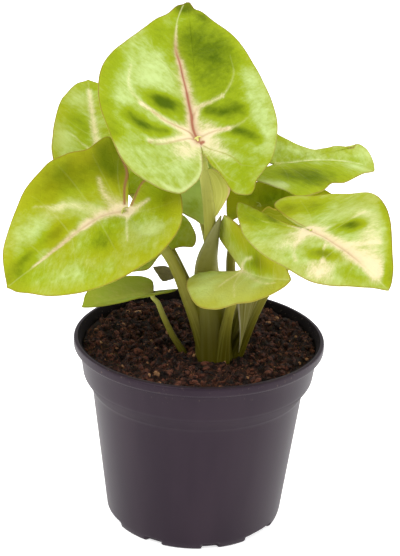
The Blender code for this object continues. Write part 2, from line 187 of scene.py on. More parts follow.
class Graph:
    """A material's node tree. Most calls add one node; sockets and plain values mix freely."""

    def __init__(self, name):
        self.material = bpy.data.materials.new(name)
        self.material.use_nodes = True
        self.tree = self.material.node_tree
        self.tree.nodes.clear()

    def node(self, kind, inputs, **settings):
        """New node with its settings, then its inputs by name or number; gives its outputs."""
        made = self.tree.nodes.new(kind)
        for key, value in settings.items():
            setattr(made, key, value)
        for key, value in inputs.items():
            self.feed(made.inputs[key], value)
        return made.outputs

    def feed(self, socket, value):
        if isinstance(value, bpy.types.NodeSocket):
            self.tree.links.new(value, socket)
        elif socket.type == "RGBA":
            socket.default_value = (*value, 1.0)
        else:
            socket.default_value = value

    def math(self, operation, *values):
        return self.node("ShaderNodeMath", dict(enumerate(values)), operation=operation)[0]

    def times(self, first, second):
        return self.math("MULTIPLY", first, second)

    def plus(self, first, second):
        return self.math("ADD", first, second)

    def spread(self, value, low, high):
        """0 to 1 stretched to low to high."""
        return self.math("MULTIPLY_ADD", value, high - low, low)

    def step(self, low, high, value):
        """Smooth step from 0 at low to 1 at high; low may be above high."""
        inputs = {"Value": value, "From Min": low, "From Max": high}
        return self.node("ShaderNodeMapRange", inputs, interpolation_type="SMOOTHSTEP")["Result"]

    def mix(self, factor, first, second):
        return self.node("ShaderNodeMix", {0: factor, 6: first, 7: second}, data_type="RGBA")[2]

    def noise(self, place, scale, detail=2.0, rough=0.5, distortion=0.0):
        """Noise from 0 to 1; scale counts its features in a unit of the place."""
        inputs = {"Vector": place, "Scale": scale, "Detail": detail, "Roughness": rough,
                  "Distortion": distortion}
        return self.node("ShaderNodeTexNoise", inputs)[0]

    def cells(self, place, scale):
        inputs = {"Vector": place, "Scale": scale}
        return self.node("ShaderNodeTexVoronoi", inputs, feature="DISTANCE_TO_EDGE")[0]

    def place(self):
        return self.node("ShaderNodeTexCoord", {})["Object"]

    def number(self, name):
        return self.node("ShaderNodeAttribute", {}, attribute_name=name)["Fac"]

    def triple(self, name):
        return self.node("ShaderNodeAttribute", {}, attribute_name=name)["Vector"]

    def scaled(self, vector, factors):
        return self.node("ShaderNodeVectorMath", {0: vector, 1: factors}, operation="MULTIPLY")[0]

    def parts(self, vector):
        return tuple(self.node("ShaderNodeSeparateXYZ", {0: vector}))

    def join(self, *parts):
        return self.node("ShaderNodeCombineXYZ", dict(enumerate(parts)))[0]

    def bump(self, height, distance, strength):
        inputs = {"Strength": strength, "Distance": distance * MM, "Height": height}
        return self.node("ShaderNodeBump", inputs)[0]

    def surface(self, colour, roughness, specular, **more):
        """Principled shader; an underscore in the name of another input is a space."""
        inputs = {"Base Color": colour, "Roughness": roughness, "Specular IOR Level": specular}
        inputs.update((key.replace("_", " "), value) for key, value in more.items())
        return self.node("ShaderNodeBsdfPrincipled", inputs)[0]

    def lit_through(self, skin, colour, share):
        """The skin, with a share of light that comes through from behind."""
        glow = self.node("ShaderNodeBsdfTranslucent", {"Color": colour})[0]
        return self.node("ShaderNodeMixShader", {0: share, 1: skin, 2: glow})[0]

    def end(self, shader):
        self.node("ShaderNodeOutputMaterial", {"Surface": shader})
        return self.material


# ---- leaves: data

# Outline and form, as in the solids. joint: where the petiole meets the blade. turn:
# heading of the tip from +X, pitch and roll, in degrees. tip: length from the joint. left
# and right: margin points from the tip to the sinus. fold: slope of each half up from the
# midrib. curl: how fast each half bends back down, per mm. droop and back: the same
# lengthwise, before and behind the joint. twist: per mm. wave: height, count and phase of
# the ripple in the margin. bow: how far the midrib bends to the left.
Leaf = namedtuple("Leaf", "joint turn tip left right fold curl droop back twist wave bow")

LEAVES = {
    "leaf_top": Leaf(
        (-2.2, -5, 143.1), (97, 38, 5), 64.5,
        ((61.6, 3.8), (57, 8.3), (50, 15.3), (40, 24.5), (26, 33), (12, 34.5), (-4, 31.5), (-15, 26),
         (-20, 17), (-21.2, 9.6), (-20.6, 6.6), (-18.5, 4.3), (-15.3, 1.2), (-12.1, -0.2), (-9.8, -0.5),
         (-5, -0.3)),
        ((63.6, -1.3), (59.6, -2.7), (57.7, -6), (52.4, -11.3), (44, -18), (29, -25), (13, -28.5),
         (-3, -25.5), (-10.5, -21.8), (-14.8, -18.6), (-18.5, -17.5), (-20.4, -15.3), (-20.2, -11.9),
         (-18.8, -9.9), (-15.2, -7.8), (-11.9, -6), (-9.8, -3.7), (-5.2, -1.3)),
        (0.24, 0.18), (0.001, 0.008), 0.0008, 0.0045, 0, (0.5, 4, 0.4), 4.9),
    "leaf_left": Leaf(
        (-25.8, -14, 120.1), (197, -24, -35), 48,
        ((42.5, 7), (33, 16.5), (19, 24), (3, 24.3), (-10, 19.7), (-16, 12), (-18.5, 4), (-17, -3),
         (-10, -7), (-2.5, -1.6)),
        ((43, -11), (31, -21.5), (20, -27.5), (10, -28), (1.5, -25.5), (-6.5, -25.5), (-7, -17.5),
         (-6.8, -12), (-3.2, -8), (-0.6, -3)),
        (0.28, 0.33), (0.0028, 0.001), 0.0045, -0.006, 0, (0.4, 4, 1), -1.7),
    "leaf_back_left": Leaf(
        (-38.4, 22, 129.1), (100, 37, 3), 41.5,
        ((36.5, 5), (29, 10), (20.5, 13.5), (6, 16.5), (-4.5, 17.5), (-13, 15), (-17, 9), (-13, 3),
         (-3, 0.6)),
        ((36, -7), (28, -14), (18, -19), (6, -21), (-6, -20.5), (-15, -16), (-18, -9), (-13, -3.5),
         (-3, -0.8)),
        (0.3, 0.24), (0, 0.0027), 0.0052, 0, 0, (0.5, 4, 2), 0.6),
    "leaf_right_high": Leaf(
        (25.9, 24, 127.5), (27, -1, 6), 42.6,
        ((45.6, 5.5), (44.8, 10), (41.5, 12.1), (38, 10.1), (34, 9.8), (30.5, 10.2), (24.9, 9.1),
         (20, 8.6), (15.2, 10.6), (11.5, 13.3), (8.6, 17), (7.5, 22), (2, 25), (-5, 20), (-7, 12), (-5, 5),
         (-2, 0.8)),
        ((40.7, -3.6), (33.7, -8.1), (26.8, -12), (19, -16.2), (13, -17.6), (7.7, -21.1), (3.9, -23.4),
         (-4.6, -25.4), (-9, -20.5), (-13, -17), (-16.5, -12), (-12, -5), (-3, -1)),
        (0.34, 0.17), (0.003, 0.01), 0.0033, 0.002, 0.0041, (0.3, 5, 0), 3.4),
    "leaf_right_low": Leaf(
        (34.7, -26.3, 120.3), (-60, 6, 9), 41.8,
        ((39.4, 3.8), (33.1, 9.6), (23.5, 16.8), (13, 21.6), (1.9, 23), (-10.6, 19.4), (-18.7, 12),
         (-22.1, 6.7), (-21.6, 1), (-15.4, 0.8), (-2.9, 0.6)),
        ((36, -6.7), (29.3, -15.4), (22.1, -19.2), (9.6, -22.6), (-5.8, -20.6), (-18.2, -15.4),
         (-25.9, -10.6), (-20.5, -6.5), (-13, -3.8), (-2.4, -1.2)),
        (0.32, 0.08), (0.00167, 0.00094), 0.00625, -0.0081, 0.0057, (0.3, 5, 1.5), 0.2),
    "leaf_front": Leaf(
        (13.6, -22.6, 103.9), (-60, 14, 44), 30.3,
        ((27.8, 3), (20.7, 5), (8.8, 7.9), (-1.5, 11.1), (-8.5, 12.8), (-11, 12.7), (-14.6, 10.5),
         (-15.2, 7.4), (-12.4, 5.9), (-8.6, 3.9), (-5, 2.1)),
        ((28.3, -4), (21.2, -10.6), (15.1, -14.1), (10.6, -18.7), (3.5, -20.2), (-6.8, -16.2),
         (-14.1, -10.9), (-15.5, -5.1), (-8.1, -2.8), (-2.5, -0.9)),
        (0.98, 0.52), (-0.015, 0.0025), 0, -0.002, 0.014, (0, 4, 0), -1),
    "leaf_low_left": Leaf(
        (-16.7, -7, 88.2), (212, 2, 4.5), 28,
        ((23, 3), (18.5, 7), (13, 10.5), (6, 11.5), (-1, 10), (-5.6, 6.5), (-7, 2.6), (-5.4, -0.6),
         (-2.3, -1)),
        ((22, -7.5), (16, -12), (9, -14.2), (2, -13.8), (-2.4, -11.8), (-4.4, -9), (-3.6, -6),
         (-1.5, -2.6)),
        (0.31, 0.26), (-0.002, 0.0036), 0.0012, -0.0117, -0.0041, (0.2, 4, 0), 0),
    "leaf_young": Leaf(
        (0.9, 7, 119.5), (96, 52, 0), 33,
        ((27, 4), (19, 8), (10, 10.5), (1, 11), (-4, 10.4), (-6.8, 8.7), (-8.8, 4.6), (-10.3, 1.2),
         (-6, 0.45), (-2, 0.12)),
        ((27, -4), (19, -8), (10, -10), (4, -9.5), (1.4, -8.1), (-1.8, -6.6), (-3.8, -5.2), (-6.9, -3.4),
         (-7, -1.6), (-2, -0.3)),
        (0.35, 0.35), (0.004, 0.004), 0.002, 0.004, 0, (0.3, 5, 0.5), 0),
    "leaf_behind_left": Leaf(
        (-15, 2, 106.2), (200, -14, -22), 29,
        ((24, 5), (18, 9), (13, 11.3), (8.5, 11.9), (3, 8.4), (-1, 8.1), (-5, 8.2), (-9, 9.3),
         (-11.6, 5.4), (-12.1, -0.7), (-11.6, -4), (-9.6, -6.6), (-5.6, -5.2), (-1.5, -1.2)),
        ((24, -6), (17, -12), (9, -15), (1, -15), (-5, -14), (-8, -11.5), (-5, -7.6), (-1.1, -2)),
        (0.1, 0.25), (0.012, 0.004), 0.004, 0, 0, (0.4, 4, 0.8), 0),
    "leaf_back_right": Leaf(
        (19.2, 18, 113.3), (20, 4, 40), 33.5,
        ((27, 4.5), (19, 7.5), (9, 9), (0, 9), (-7, 8), (-9.6, 6), (-11, 2), (-12, -2), (-12, -4.6),
         (-7, -2.7), (-2, -0.78)),
        ((27, -4), (18, -7.5), (9, -8.5), (-0.7, -7.6), (-4.8, -7), (-6.5, -6.4), (-4, -4), (-1.5, -1.5)),
        (0.2, 0.2), (0.006, 0.006), 0.003, 0.004, 0, (0.4, 4, 0), 0),
    "leaf_back": Leaf(
        (-4, 31, 120), (92, 14, -3), 40,
        ((35, 5), (26, 12), (15, 17), (3, 18.5), (-7, 16), (-13, 10), (-12, 4), (-7, 1.5), (-2, 0.7)),
        ((35, -5), (26, -12), (15, -17), (3, -18.5), (-7, -16), (-13, -10), (-12, -4), (-7, -1.5),
         (-2, -0.7)),
        (0.22, 0.22), (0.005, 0.005), 0.006, 0.003, 0, (0.6, 4, 0), 0.5),
    "leaf_withered": Leaf(
        (-9.2, -3, 93.2), (184, 24, -58), 8.6,
        ((7, 1.25), (4.4, 3.2), (3.1, 3.4), (1.7, 2.3), (0.3, 1.2)),
        ((4.8, -1.9), (2, -1.8), (0.4, -0.9)),
        (0.15, 0.25), (0, 0), 0, 0, 0, (0.2, 3, 0), 0),
}

# Midribs that bend more than once: places from the joint to the tip.
DRAWN_MIDRIBS = {
    "leaf_top": ((0, 0.4), (5, 1.8), (11.7, 2.1), (20.3, 2.9), (28.4, 3.8), (34.7, 4.5), (40, 5.4),
        (46, 5.1), (55, 3.9), (64.5, 0.6)),
    "leaf_left": ((0, -0.4), (4, -2.2), (8.5, -3.3), (14, -3), (20.7, -2.2), (33.6, -0.6), (41.2, -0.3),
        (48, 0)),
    "leaf_right_high": ((0, 0.2), (7.4, 1), (14, 2), (23, 3), (30, 3), (38, 1.8), (42.6, 0)),
}

# Side veins that were drawn one by one: each a run of places from the midrib outward.
DRAWN_VEINS = {
    "leaf_top": (
        ((1, 1.5), (3, 3), (5.2, 7.9), (6.7, 12.1), (9.6, 16.2), (11.8, 19.6), (15.5, 22.6), (18.7, 23.8),
         (23.2, 23.6), (28.8, 22.6), (34.8, 20.9)),
        ((0.2, 1.2), (0.4, 3.2), (-1.6, 8.3), (-4.1, 14.1), (-4.2, 18.3), (-3, 22.4), (1.1, 26.3)),
        ((-1, 1), (-5, 3.5), (-9, 8.5), (-12.5, 14), (-14.5, 19)),
        ((9, 2), (14, -0.6), (16.5, -4.9), (19.3, -9.3), (24, -12.2), (28.7, -13.8), (31.6, -14.3),
         (38, -13.5)),
        ((0.8, 0.6), (1.9, -1.2), (4, -5.3), (5.4, -10.3), (7.4, -14), (10.3, -17.1), (15, -20.5)),
        ((0.2, -0.8), (-3.1, -3.5), (-4.7, -7.4), (-6.9, -11.4), (-9.2, -13.4), (-9.5, -18)),
        ((-2, -1), (-8, -4.5), (-14, -8.5), (-17, -13)),
        ((24, 3.4), (31, 9), (38, 13.5), (44, 14.5)),
    ),
}

# Side veins of every other leaf: share of the midrib they leave it at, the margin station
# they make for (0 tip to 1 sinus) and how near they get to it.
SIDE_VEINS = ((0.0, 0.86, 0.82), (0.0, 0.66, 0.86), (0.03, 0.5, 0.88), (0.2, 0.35, 0.9),
              (0.42, 0.22, 0.9), (0.66, 0.12, 0.9))

# Soft patches: place, radii (along, across), what they add to tone (-1 dark green to 1 pale
# green) and to cream, and their turn in degrees.
Patch = namedtuple("Patch", "along across long wide tone cream turn", defaults=(0, 0))

PATCHES = {
    "leaf_top": (
        (14.2, 11.8, 3.7, 6.4, -2.3, -0.5, -18), (39, -6, 15, 10.5, -1.2), (44, 0.5, 6, 4, -0.5),
        (24, -8, 24, 10, -0.4), (26, 16, 12, 8, 0.7), (12, 26, 12, 4, 0.4), (-13, 17, 6, 9, 0.3),
        (-14, 7, 5, 4, 0.15, 0.1), (-5, 5.5, 3.6, 5, 0.4, 0.8), (5, -3.4, 3.4, 3, 0, 0.65),
        (62, 1, 4, 5, -2.2, -0.6), (56, -5, 3, 3, -0.8), (46, 11, 7, 5, -0.5),
        (-4.5, -6.5, 3, 5, 0.5, 0.6, -25), (-14, -14, 5, 4, -0.4), (-0.5, -4, 2.6, 4, 0.1, 0.5),
        (2.5, 5, 2.6, 4, 0, 0.4), (20, 8, 9, 4, 0.3, 0.12),
    ),
    "leaf_left": (
        (12, -22, 16, 8, -1.5), (-5, -17, 7, 8, -2.4), (11.7, 7.4, 3.6, 4.2, -1.1, -0.3, 20),
        (24.6, -6, 5, 2, -1.4, -0.3, 8), (36.3, -4.8, 5, 1.7, -1.1, -0.2, 8), (-13, 4, 5, 6, -0.9),
        (34, -12, 8, 5, 0.6), (26, 12, 9, 4, 0.35, 0.05), (-3, 12, 6, 4, 0.7),
        (20, -13, 7, 2.5, 0.6, 0.2, 10), (45, -2, 6, 7, -0.8), (14, -9, 7, 4, 0.3, 0.1),
    ),
    "leaf_right_low": (
        (12.8, 8.4, 4.6, 2.4, -2, -1.3, 27), (18.2, -6.8, 4.6, 2.8, -1.5, -0.7, 42),
        (30.5, -5.5, 4.6, 3.6, -0.4, -1.1), (-11, 10, 6, 5, -1.1, -0.3), (2.5, -3, 4, 6, 0, 0.8),
        (24, -12.3, 4.8, 4.8, 0, 1), (25, -4.5, 4, 3.6, 0, 0.3), (31, 4, 7, 4, 0.1, 0.6),
        (22.5, 9.5, 6, 4, 0.4, 0.6), (7, -13.2, 4, 5, 0.3, 0.5), (-17, -12, 7, 5, -0.8, -0.1),
        (-17, 3, 4, 5, -1.5, -0.3), (-14, -5, 7, 2.4, -1.6, -0.4), (13, 14.5, 7, 2.4, 0.4, 0.4),
        (1, 18.5, 13, 3.6, -0.3, -0.1), (12, -11, 3.4, 3.4, -0.2, -0.5),
    ),
    "leaf_right_high": (
        (6, -13, 14, 8, -1.5), (18, 8, 13, 4, 0.4, 0.05), (6, 16, 5, 6, -0.3), (33, -4, 7, 4, 0.4),
        (43, 8, 4, 5, 0.4), (-10, -18, 6, 4, 1.2, 0.15), (26, 9, 3, 3, -0.5),
    ),
    # leaf_front: the first patch, dark over the cup beside the midrib, is painted shade.
    "leaf_front": ((13, 2.4, 8, 2.3, -2.2), (4, -9, 14, 7, 0.7, 0.05), (4, 8, 10, 3, -1.3)),
    "leaf_back_left": ((4, 13, 8, 4, 0.7), (27, 5, 6, 4, 0.6), (14, 6, 5, 4, -0.5), (12, -12, 9, 5, -0.5)),
    "leaf_back": ((4, 6, 10, 6, -0.4),),
    "leaf_young": ((8, -6, 8, 4, 0.9, 0.2), (-5, 5, 5, 4, -0.9)),
    "leaf_behind_left": ((-4, 3, 8, 6, -0.4),),
    # leaf_low_left: this cream patch is painted light, to lighten a blade that lies in the shade of
    # leaf_left.
    "leaf_low_left": ((12, -3, 18, 12, 0, 0.4),),
}

# Strokes along a run of places: half width at its two ends, then what they add to tone, to
# cream and to pink.
Stroke = namedtuple("Stroke", "points start end tone cream pink", defaults=(0,))

STROKES = {
    "leaf_top": (
        (((0, 0.8), (5, 1.8), (11.7, 2.1), (20.3, 2.9), (28.4, 3.8), (34.7, 4.5)), 2.4, 1.4, 0.1, 0.8),
        (((0, 0.8), (5, 1.8), (11.7, 2.1), (20.3, 2.9), (30, 4)), 4.6, 2.4, 0, 0.25),
        (((34.7, 4.5), (40, 5.4), (46, 5.1), (52, 4.4)), 1.3, 0.5, 0, 0.7),
        (((1, 2), (3, 3.4), (5.2, 7.9), (6.7, 12.1), (9.6, 16.2), (11.8, 19.6)), 1.9, 1.1, 0.1, 0.85),
        (((11.8, 19.6), (15.5, 22.6), (18.7, 23.8), (23.2, 23.6), (28.8, 22.6)), 1.1, 0.6, 0.2, 0.45),
        (((0, 2), (0.4, 4), (-0.8, 8.3), (-2.8, 13.5), (-3.4, 18)), 1.7, 0.8, 0.4, 0.7),
        (((9, 2), (14, -0.6), (16.5, -4.9), (19.3, -9.3)), 1.7, 0.7, 0.1, 0.7),
        (((19.3, -9.3), (24, -12.2), (28.7, -13.8), (31.6, -14.3)), 0.7, 0.4, 0.2, 0.3),
        (((0.5, 0.5), (1.9, -1.2), (4, -5.3), (5.4, -10.3)), 2, 0.9, 0.1, 0.85),
        (((5.4, -10.3), (7.4, -14), (10.3, -17.1)), 0.9, 0.5, 0, 0.35),
        (((-1, 0), (-3.1, -3.2), (-4.7, -7.4), (-6.9, -11.4), (-9.2, -13.4)), 0.3, 0.2, -0.5, -0.3, 0.3),
        (((5.5, 24), (2.8, 20.5)), 3.2, 2.6, -1.35, -0.2),
        (((1.4, 17.5), (1.7, 12)), 2.4, 1.5, -1.1, -0.2),
        (((13, -3.8), (12.2, -8), (14, -14)), 2.4, 3, -1.3, -0.2),
        (((4.5, -13), (2.5, -20)), 2.4, 2.8, -1.4, 0),
        (((30, -19), (20, -21.5), (10, -23.5), (0, -22)), 4.2, 4.2, 0.5, 0),
        (((30, 29), (18, 32), (6, 32.5), (-4, 30)), 3.4, 3, -0.5, 0),
        (((-0.7, -0.7), (-0.4, -1.2)), 0.5, 0.5, 0, 0, 2),
        (((-0.6, 1), (0.9, 0.7)), 0.8, 0.6, -1.6, -1.3, 0.25),
        (((0.5, 0.9), (5, 1.8), (11.7, 2.1), (20.3, 2.9)), 1.9, 0.9, 0, 0, 0.32),
        (((1, 2), (3.2, 3.3), (5.2, 7.9), (6.7, 12.1), (9.6, 16.2)), 0.45, 0.3, 0, 0, 0.6),
        (((0.2, 2), (0.4, 4), (-1.6, 8.3), (-4.1, 14.1), (-4.2, 18.3)), 0.4, 0.3, 0, 0, 0.5),
        (((0.5, 0.5), (1.9, -1.2), (4, -5.3), (5.4, -10.3)), 0.45, 0.3, 0, 0, 0.5),
        (((9, 2), (14, -0.6), (16.5, -4.9)), 0.45, 0.3, 0, 0, 0.4),
        (((-19, 14), (-20.5, 9), (-18, 4.6), (-12, 0.4), (-6, -0.2)), 0.7, 0.7, 0.6, 0.2),
    ),
    "leaf_left": (
        (((0, -0.5), (4, -2.2), (8.5, -3.3), (14, -3)), 2.2, 1.7, 0.1, 0.85, 0.05),
        (((14, -3), (20.7, -2.2), (28, -1.3), (37, -0.4)), 1.7, 0.35, 0.1, 0.75, 0.05),
        (((0, -1), (3.2, -6.1), (3.8, -10.5), (3.3, -14.8)), 2.5, 0.9, 0.1, 0.55, 0.05),
        (((8, -5), (14, -10.4), (20.9, -13.6), (26.9, -17.3)), 1.6, 0.8, 0.5, 0.3),
        (((0, 0.5), (-4, 0.3), (-8.2, -0.3)), 1.7, 0.9, 0, 0.65),
        (((0, 0.5), (2.4, 6), (4.8, 12.5)), 0.9, 0.4, 0.3, 0.4),
        (((-0.5, -3), (-3.2, -8), (-6.4, -12.5), (-7, -20)), 0.45, 0.45, -0.3, 0, 1),
        (((-2.5, -1.6), (-10, -6.6), (-16.6, -3)), 0.45, 0.45, -0.3, 0, 0.9),
    ),
    "leaf_right_low": (
        (((0, 0), (10, 0.3), (17, 0.5), (26, 0.6), (35, 0.7)), 1.9, 3.4, 0, 1),
        (((1, -1), (6.1, -7.3), (10, -12), (16, -16)), 1.6, 0.9, 0, 0.6),
        (((1, 0), (6, 4), (9, 9), (12, 15)), 1.2, 0.7, 0.2, 0.4),
        (((17, 0), (21, 4), (27, 9)), 1.4, 0.9, 0.1, 0.45),
        (((0, 0), (-8, -4), (-14, -9)), 1, 0.5, 0.2, 0.4),
        (((40, 3), (34, 9), (24, 16.4), (14, 21)), 2.5, 1.6, -1, -1.5),
        (((14, -3), (17, -6), (21, -9)), 0.6, 0.9, 0, 0.8),
    ),
    "leaf_front": (
        (((0, 0), (0.6, -5), (1.2, -10.2)), 0.8, 0.4, 0.4, 0.35),
        (((0, 0), (6.2, -7.3), (12, -12)), 0.8, 0.4, 0.3, 0.3),
        (((0, 0), (9, -2.4), (17.3, -3.6), (23, -2.3)), 1, 0.4, 0.3, 0.4),
        (((-0.5, 1.4), (3, 2.9), (8.1, 3.5)), 0.7, 0.5, 0.9, 0.5),
    ),
    "leaf_right_high": (
        (((0, 0.2), (7.4, 1), (14, 2), (23, 3), (30, 3), (38, 1.8)), 0.9, 0.5, 0.6, 0.35),
    ),
    "leaf_back_left": (
        (((0, 0), (10, 0.5), (22, 0.6), (34, 0.4)), 1.9, 1.2, 0.5, 0.65),
        (((0, 0), (4, 6), (9, 11)), 0.8, 0.4, 0.2, 0.4),
        (((0, 0), (6, -7), (13, -13)), 0.8, 0.4, 0.2, 0.4),
    ),
}

# Look of each blade: lift of tone all over, cream round the joint and along the veins, pink
# of the main vein, strength of the side veins, share of golden olive, how much light it lets
# through, and how many steps the mesh takes round its margin and out to it.
Look = namedtuple("Look", "tone cream pink veins olive thin around rings")

LOOKS = {
    "leaf_top": Look(0.25, 0, 1, 0.8, 0, 0.22, 300, 64),
    "leaf_left": Look(0.15, 0.1, 0.3, 0.28, 0.45, 0.22, 240, 54),
    "leaf_back_left": Look(0.1, 0.1, 0.05, 0.25, 0.3, 0.22, 180, 44),
    "leaf_right_high": Look(0.2, 0.05, 0, 0.25, 0.1, 0.22, 220, 48),
    "leaf_right_low": Look(0.5, 0.1, 0.4, 0.4, 0.3, 0.22, 240, 56),
    "leaf_front": Look(0.65, 0.1, 0, 0.35, 0.7, 0.3, 180, 44),
    # leaf_low_left: its high tone lift and its cream are painted light, for a blade in the shade of
    # leaf_left.
    "leaf_low_left": Look(2, 0.2, 0, 0.15, 0.35, 0.85, 130, 32),
    # leaf_young: its tone lift is partly painted light, for the light that comes through it from behind.
    "leaf_young": Look(1.2, 0.1, 0.1, 0.15, 0.2, 0.6, 150, 32),
    "leaf_behind_left": Look(0.45, 0.1, 0, 0.15, 0.4, 0.34, 150, 32),
    # leaf_back_right: its lowered tone is painted shade, for a blade in shade behind leaf_top and
    # leaf_right_high.
    "leaf_back_right": Look(-0.7, 0, 0, 0.1, 0.7, 0.25, 140, 30),
    "leaf_back": Look(0, 0.2, 0.1, 0.2, 0.1, 0.22, 180, 44),
    "leaf_withered": Look(0, 0, 0, 0.2, 0, 0.1, 90, 16),
}

BLADE = 0.55          # thickness near the joint
BLADE_EDGE = 0.3      # thickness at the margin
CREASE = 1.2          # how softly the two halves meet at the midrib
GROOVE = 0.42         # depth of the furrow over the midrib
RIB = 0.45            # height of the midrib on the underside
GROOVE_WIDTH = 0.9
RIB_WIDTH = 0.75
VEIN_RIB = 0.3        # height of the side veins' ribs, as a share of the midrib's
VEIN_RIB_WIDTH = 0.5
QUILT = 0.55          # swell of the blade between its side veins, QUILT_REACH from each
QUILT_REACH = 4.5
PUCKER = 0.28         # height of small puckers, PUCKER_SIZE across
PUCKER_SIZE = 6.0
BILLOW = 0.6          # height of wide waves towards the margin, BILLOW_SIZE across
BILLOW_SIZE = 15.0
RAGGED = 0.019        # unevenness of the margin, as a share of its reach
CROWDING = 1.25       # how much closer the rings of vertices get towards the margin
RING_REACH = 0.985    # share of the way to the margin that those rings fill
LAST_RINGS = (0.992, 1.0)     # and the two beyond them
MIDRIB_REACH = 0.97   # share of the blade's length that the midrib runs


# ---- leaves: shape


def leaf_frame(leaf):
    """Matrix from the leaf's own (along, across, up) to the plant."""
    heading, pitch, roll = (radians(a) for a in leaf.turn)
    along = Vector((cos(pitch) * cos(heading), cos(pitch) * sin(heading), sin(pitch)))
    level = Vector((-sin(heading), cos(heading), 0))
    across = level * cos(roll) + along.cross(level) * sin(roll)
    return np.array((along, across, along.cross(across))).T


def margin_line(leaf, shares):
    """Margin points at shares -1 (left sinus), 0 (tip) to 1 (right sinus)."""
    line = np.zeros((len(shares), 2))
    for points, picked in ((leaf.left, shares <= 0), (leaf.right, shares > 0)):
        stations = np.array([(leaf.tip, 0.0), *points])
        stations = np.vstack([2 * stations[0] - stations[1], stations, stations[-1]])
        line[picked] = spline(stations, np.abs(shares[picked]) * len(points))
    return line


def midrib(name, along):
    """How far the midrib stands to the left at a distance along it."""
    if name in DRAWN_MIDRIBS:
        line = catmull(DRAWN_MIDRIBS[name], 60)
        return np.interp(along, line[:, 0], line[:, 1])
    leaf = LEAVES[name]
    return leaf.bow * np.sin(pi * np.clip(along / leaf.tip, 0, 1))


def vein_lines(name, leaf):
    """Midrib first, then the side veins, each as a run of (along, across)."""
    along = np.linspace(0, MIDRIB_REACH * leaf.tip, 40)
    lines = [np.stack([along, midrib(name, along)], 1)]
    if name in DRAWN_VEINS:
        return lines + [catmull(v, 24) for v in DRAWN_VEINS[name]]
    for start, share, reach in SIDE_VEINS:
        for side in (-1, 1):
            begin = np.array([start * leaf.tip, midrib(name, start * leaf.tip)])
            end = margin_line(leaf, np.array([side * share]))[0] * reach
            bend = begin + (end - begin) * ((0.3, 0.62) if end[0] > begin[0] else (0.15, 0.6))
            t = np.linspace(0, 1, 20)[:, None]
            lines.append(begin * (1 - t)**2 + 2 * bend * t * (1 - t) + end * t**2)
    return lines


def distance_to(line, places):
    """Distance of every place to a line, the same with a sign, and how far along it (0 to 1)."""
    best = np.full(len(places), 1e9)
    signed = np.zeros(len(places))
    run = np.zeros(len(places))
    for k, (a, b) in enumerate(zip(line, line[1:])):
        step = b - a
        t = np.clip(((places - a) @ step) / (step @ step), 0, 1)
        gap = places - a - t[:, None] * step
        far = np.hypot(*gap.T)
        side = np.sign(step[0] * gap[:, 1] - step[1] * gap[:, 0])
        near = far < best
        best[near] = far[near]
        signed[near] = (far * side)[near]
        run[near] = (k + t[near]) / (len(line) - 1)
    return best, signed, run


def vein_values(name, places):
    """Distance to the midrib and the run along it; distance, side and rank of the nearest vein."""
    lines = vein_lines(name, LEAVES[name])
    main, signed, main_run = distance_to(lines[0], places)
    near, rank = main.copy(), np.zeros(len(places))
    for vein in lines[1:]:
        far, side, run = distance_to(vein, places)
        closer = far < near
        near[closer], signed[closer] = far[closer], side[closer]
        rank[closer] = 0.35 + 0.65 * run[closer]
    return main, main_run, near, signed, rank


def patch_value(patch, places):
    """Soft round patch: 1 at its centre, falling off over its radii."""
    a = radians(patch.turn)
    x, y = places[:, 0] - patch.along, places[:, 1] - patch.across
    return bell(x * cos(a) + y * sin(a), patch.long) * bell(y * cos(a) - x * sin(a), patch.wide)


def stroke_value(stroke, places):
    """Soft band along a run of places: 1 on its middle line, falling off over its half width."""
    far, _, run = distance_to(catmull(stroke.points, 16), places)
    return bell(far, stroke.start + (stroke.end - stroke.start) * run)


def blade_grid(leaf, look, seed):
    """Rays from the joint to the margin: the margin, then share, ring and place of each vertex."""
    shares = np.linspace(-1, 1, look.around + 1)
    t = np.linspace(0, 1, look.rings + 1)[1:]
    rings = np.append((1 - (1 - t[:-1])**CROWDING) * RING_REACH, LAST_RINGS)
    along_margin = np.stack([shares * 30, 0 * shares, 0 * shares], 1)
    line = margin_line(leaf, shares) * (1 + RAGGED * lumps(along_margin, 2.2, seed))[:, None]
    share = np.append(0.0, np.repeat(shares, len(rings)))
    ring = np.append(0.0, np.tile(rings, len(shares)))
    places = np.vstack([[0.0, 0.0], np.repeat(line, len(rings), axis=0)]) * ring[:, None]
    return line, share, ring, places


def blade_height(name, grid, main, near, seed):
    """How far the blade stands off its own plane, with grooves over veins and puckers between."""
    leaf, look = LEAVES[name], LOOKS[name]
    _, share, ring, places = grid
    along, across = places.T
    side = (across < 0).astype(int)
    fold, curl = np.array(leaf.fold)[side], np.array(leaf.curl)[side]
    aside = np.where(along > 0, across - midrib(name, along), across)
    height = fold * (np.sqrt(aside**2 + CREASE**2) - CREASE) - curl * across**2
    height += leaf.twist * along * across
    height -= np.where(along >= 0, leaf.droop, leaf.back) * along**2
    size, count, phase = leaf.wave
    ripple = size * ring**2 * np.sin(count * pi * share + phase)
    height += ripple * (1 - np.abs(share)**6)
    inside = smooth(0.02, 0.2, ring)
    height -= GROOVE * bell(main, GROOVE_WIDTH) * (1 - 0.7 * smooth(0.5, 1.0, ring))
    swell = look.veins * QUILT * (smooth(0, QUILT_REACH, near) - 0.5)
    height += swell * inside * (1 - 0.6 * ring**4)
    flat = np.stack([along, across, np.zeros_like(along)], 1)
    height += PUCKER * inside * lumps(flat, PUCKER_SIZE, seed)
    height += BILLOW * ring**3 * inside * lumps(flat, BILLOW_SIZE, seed + 5)
    return height


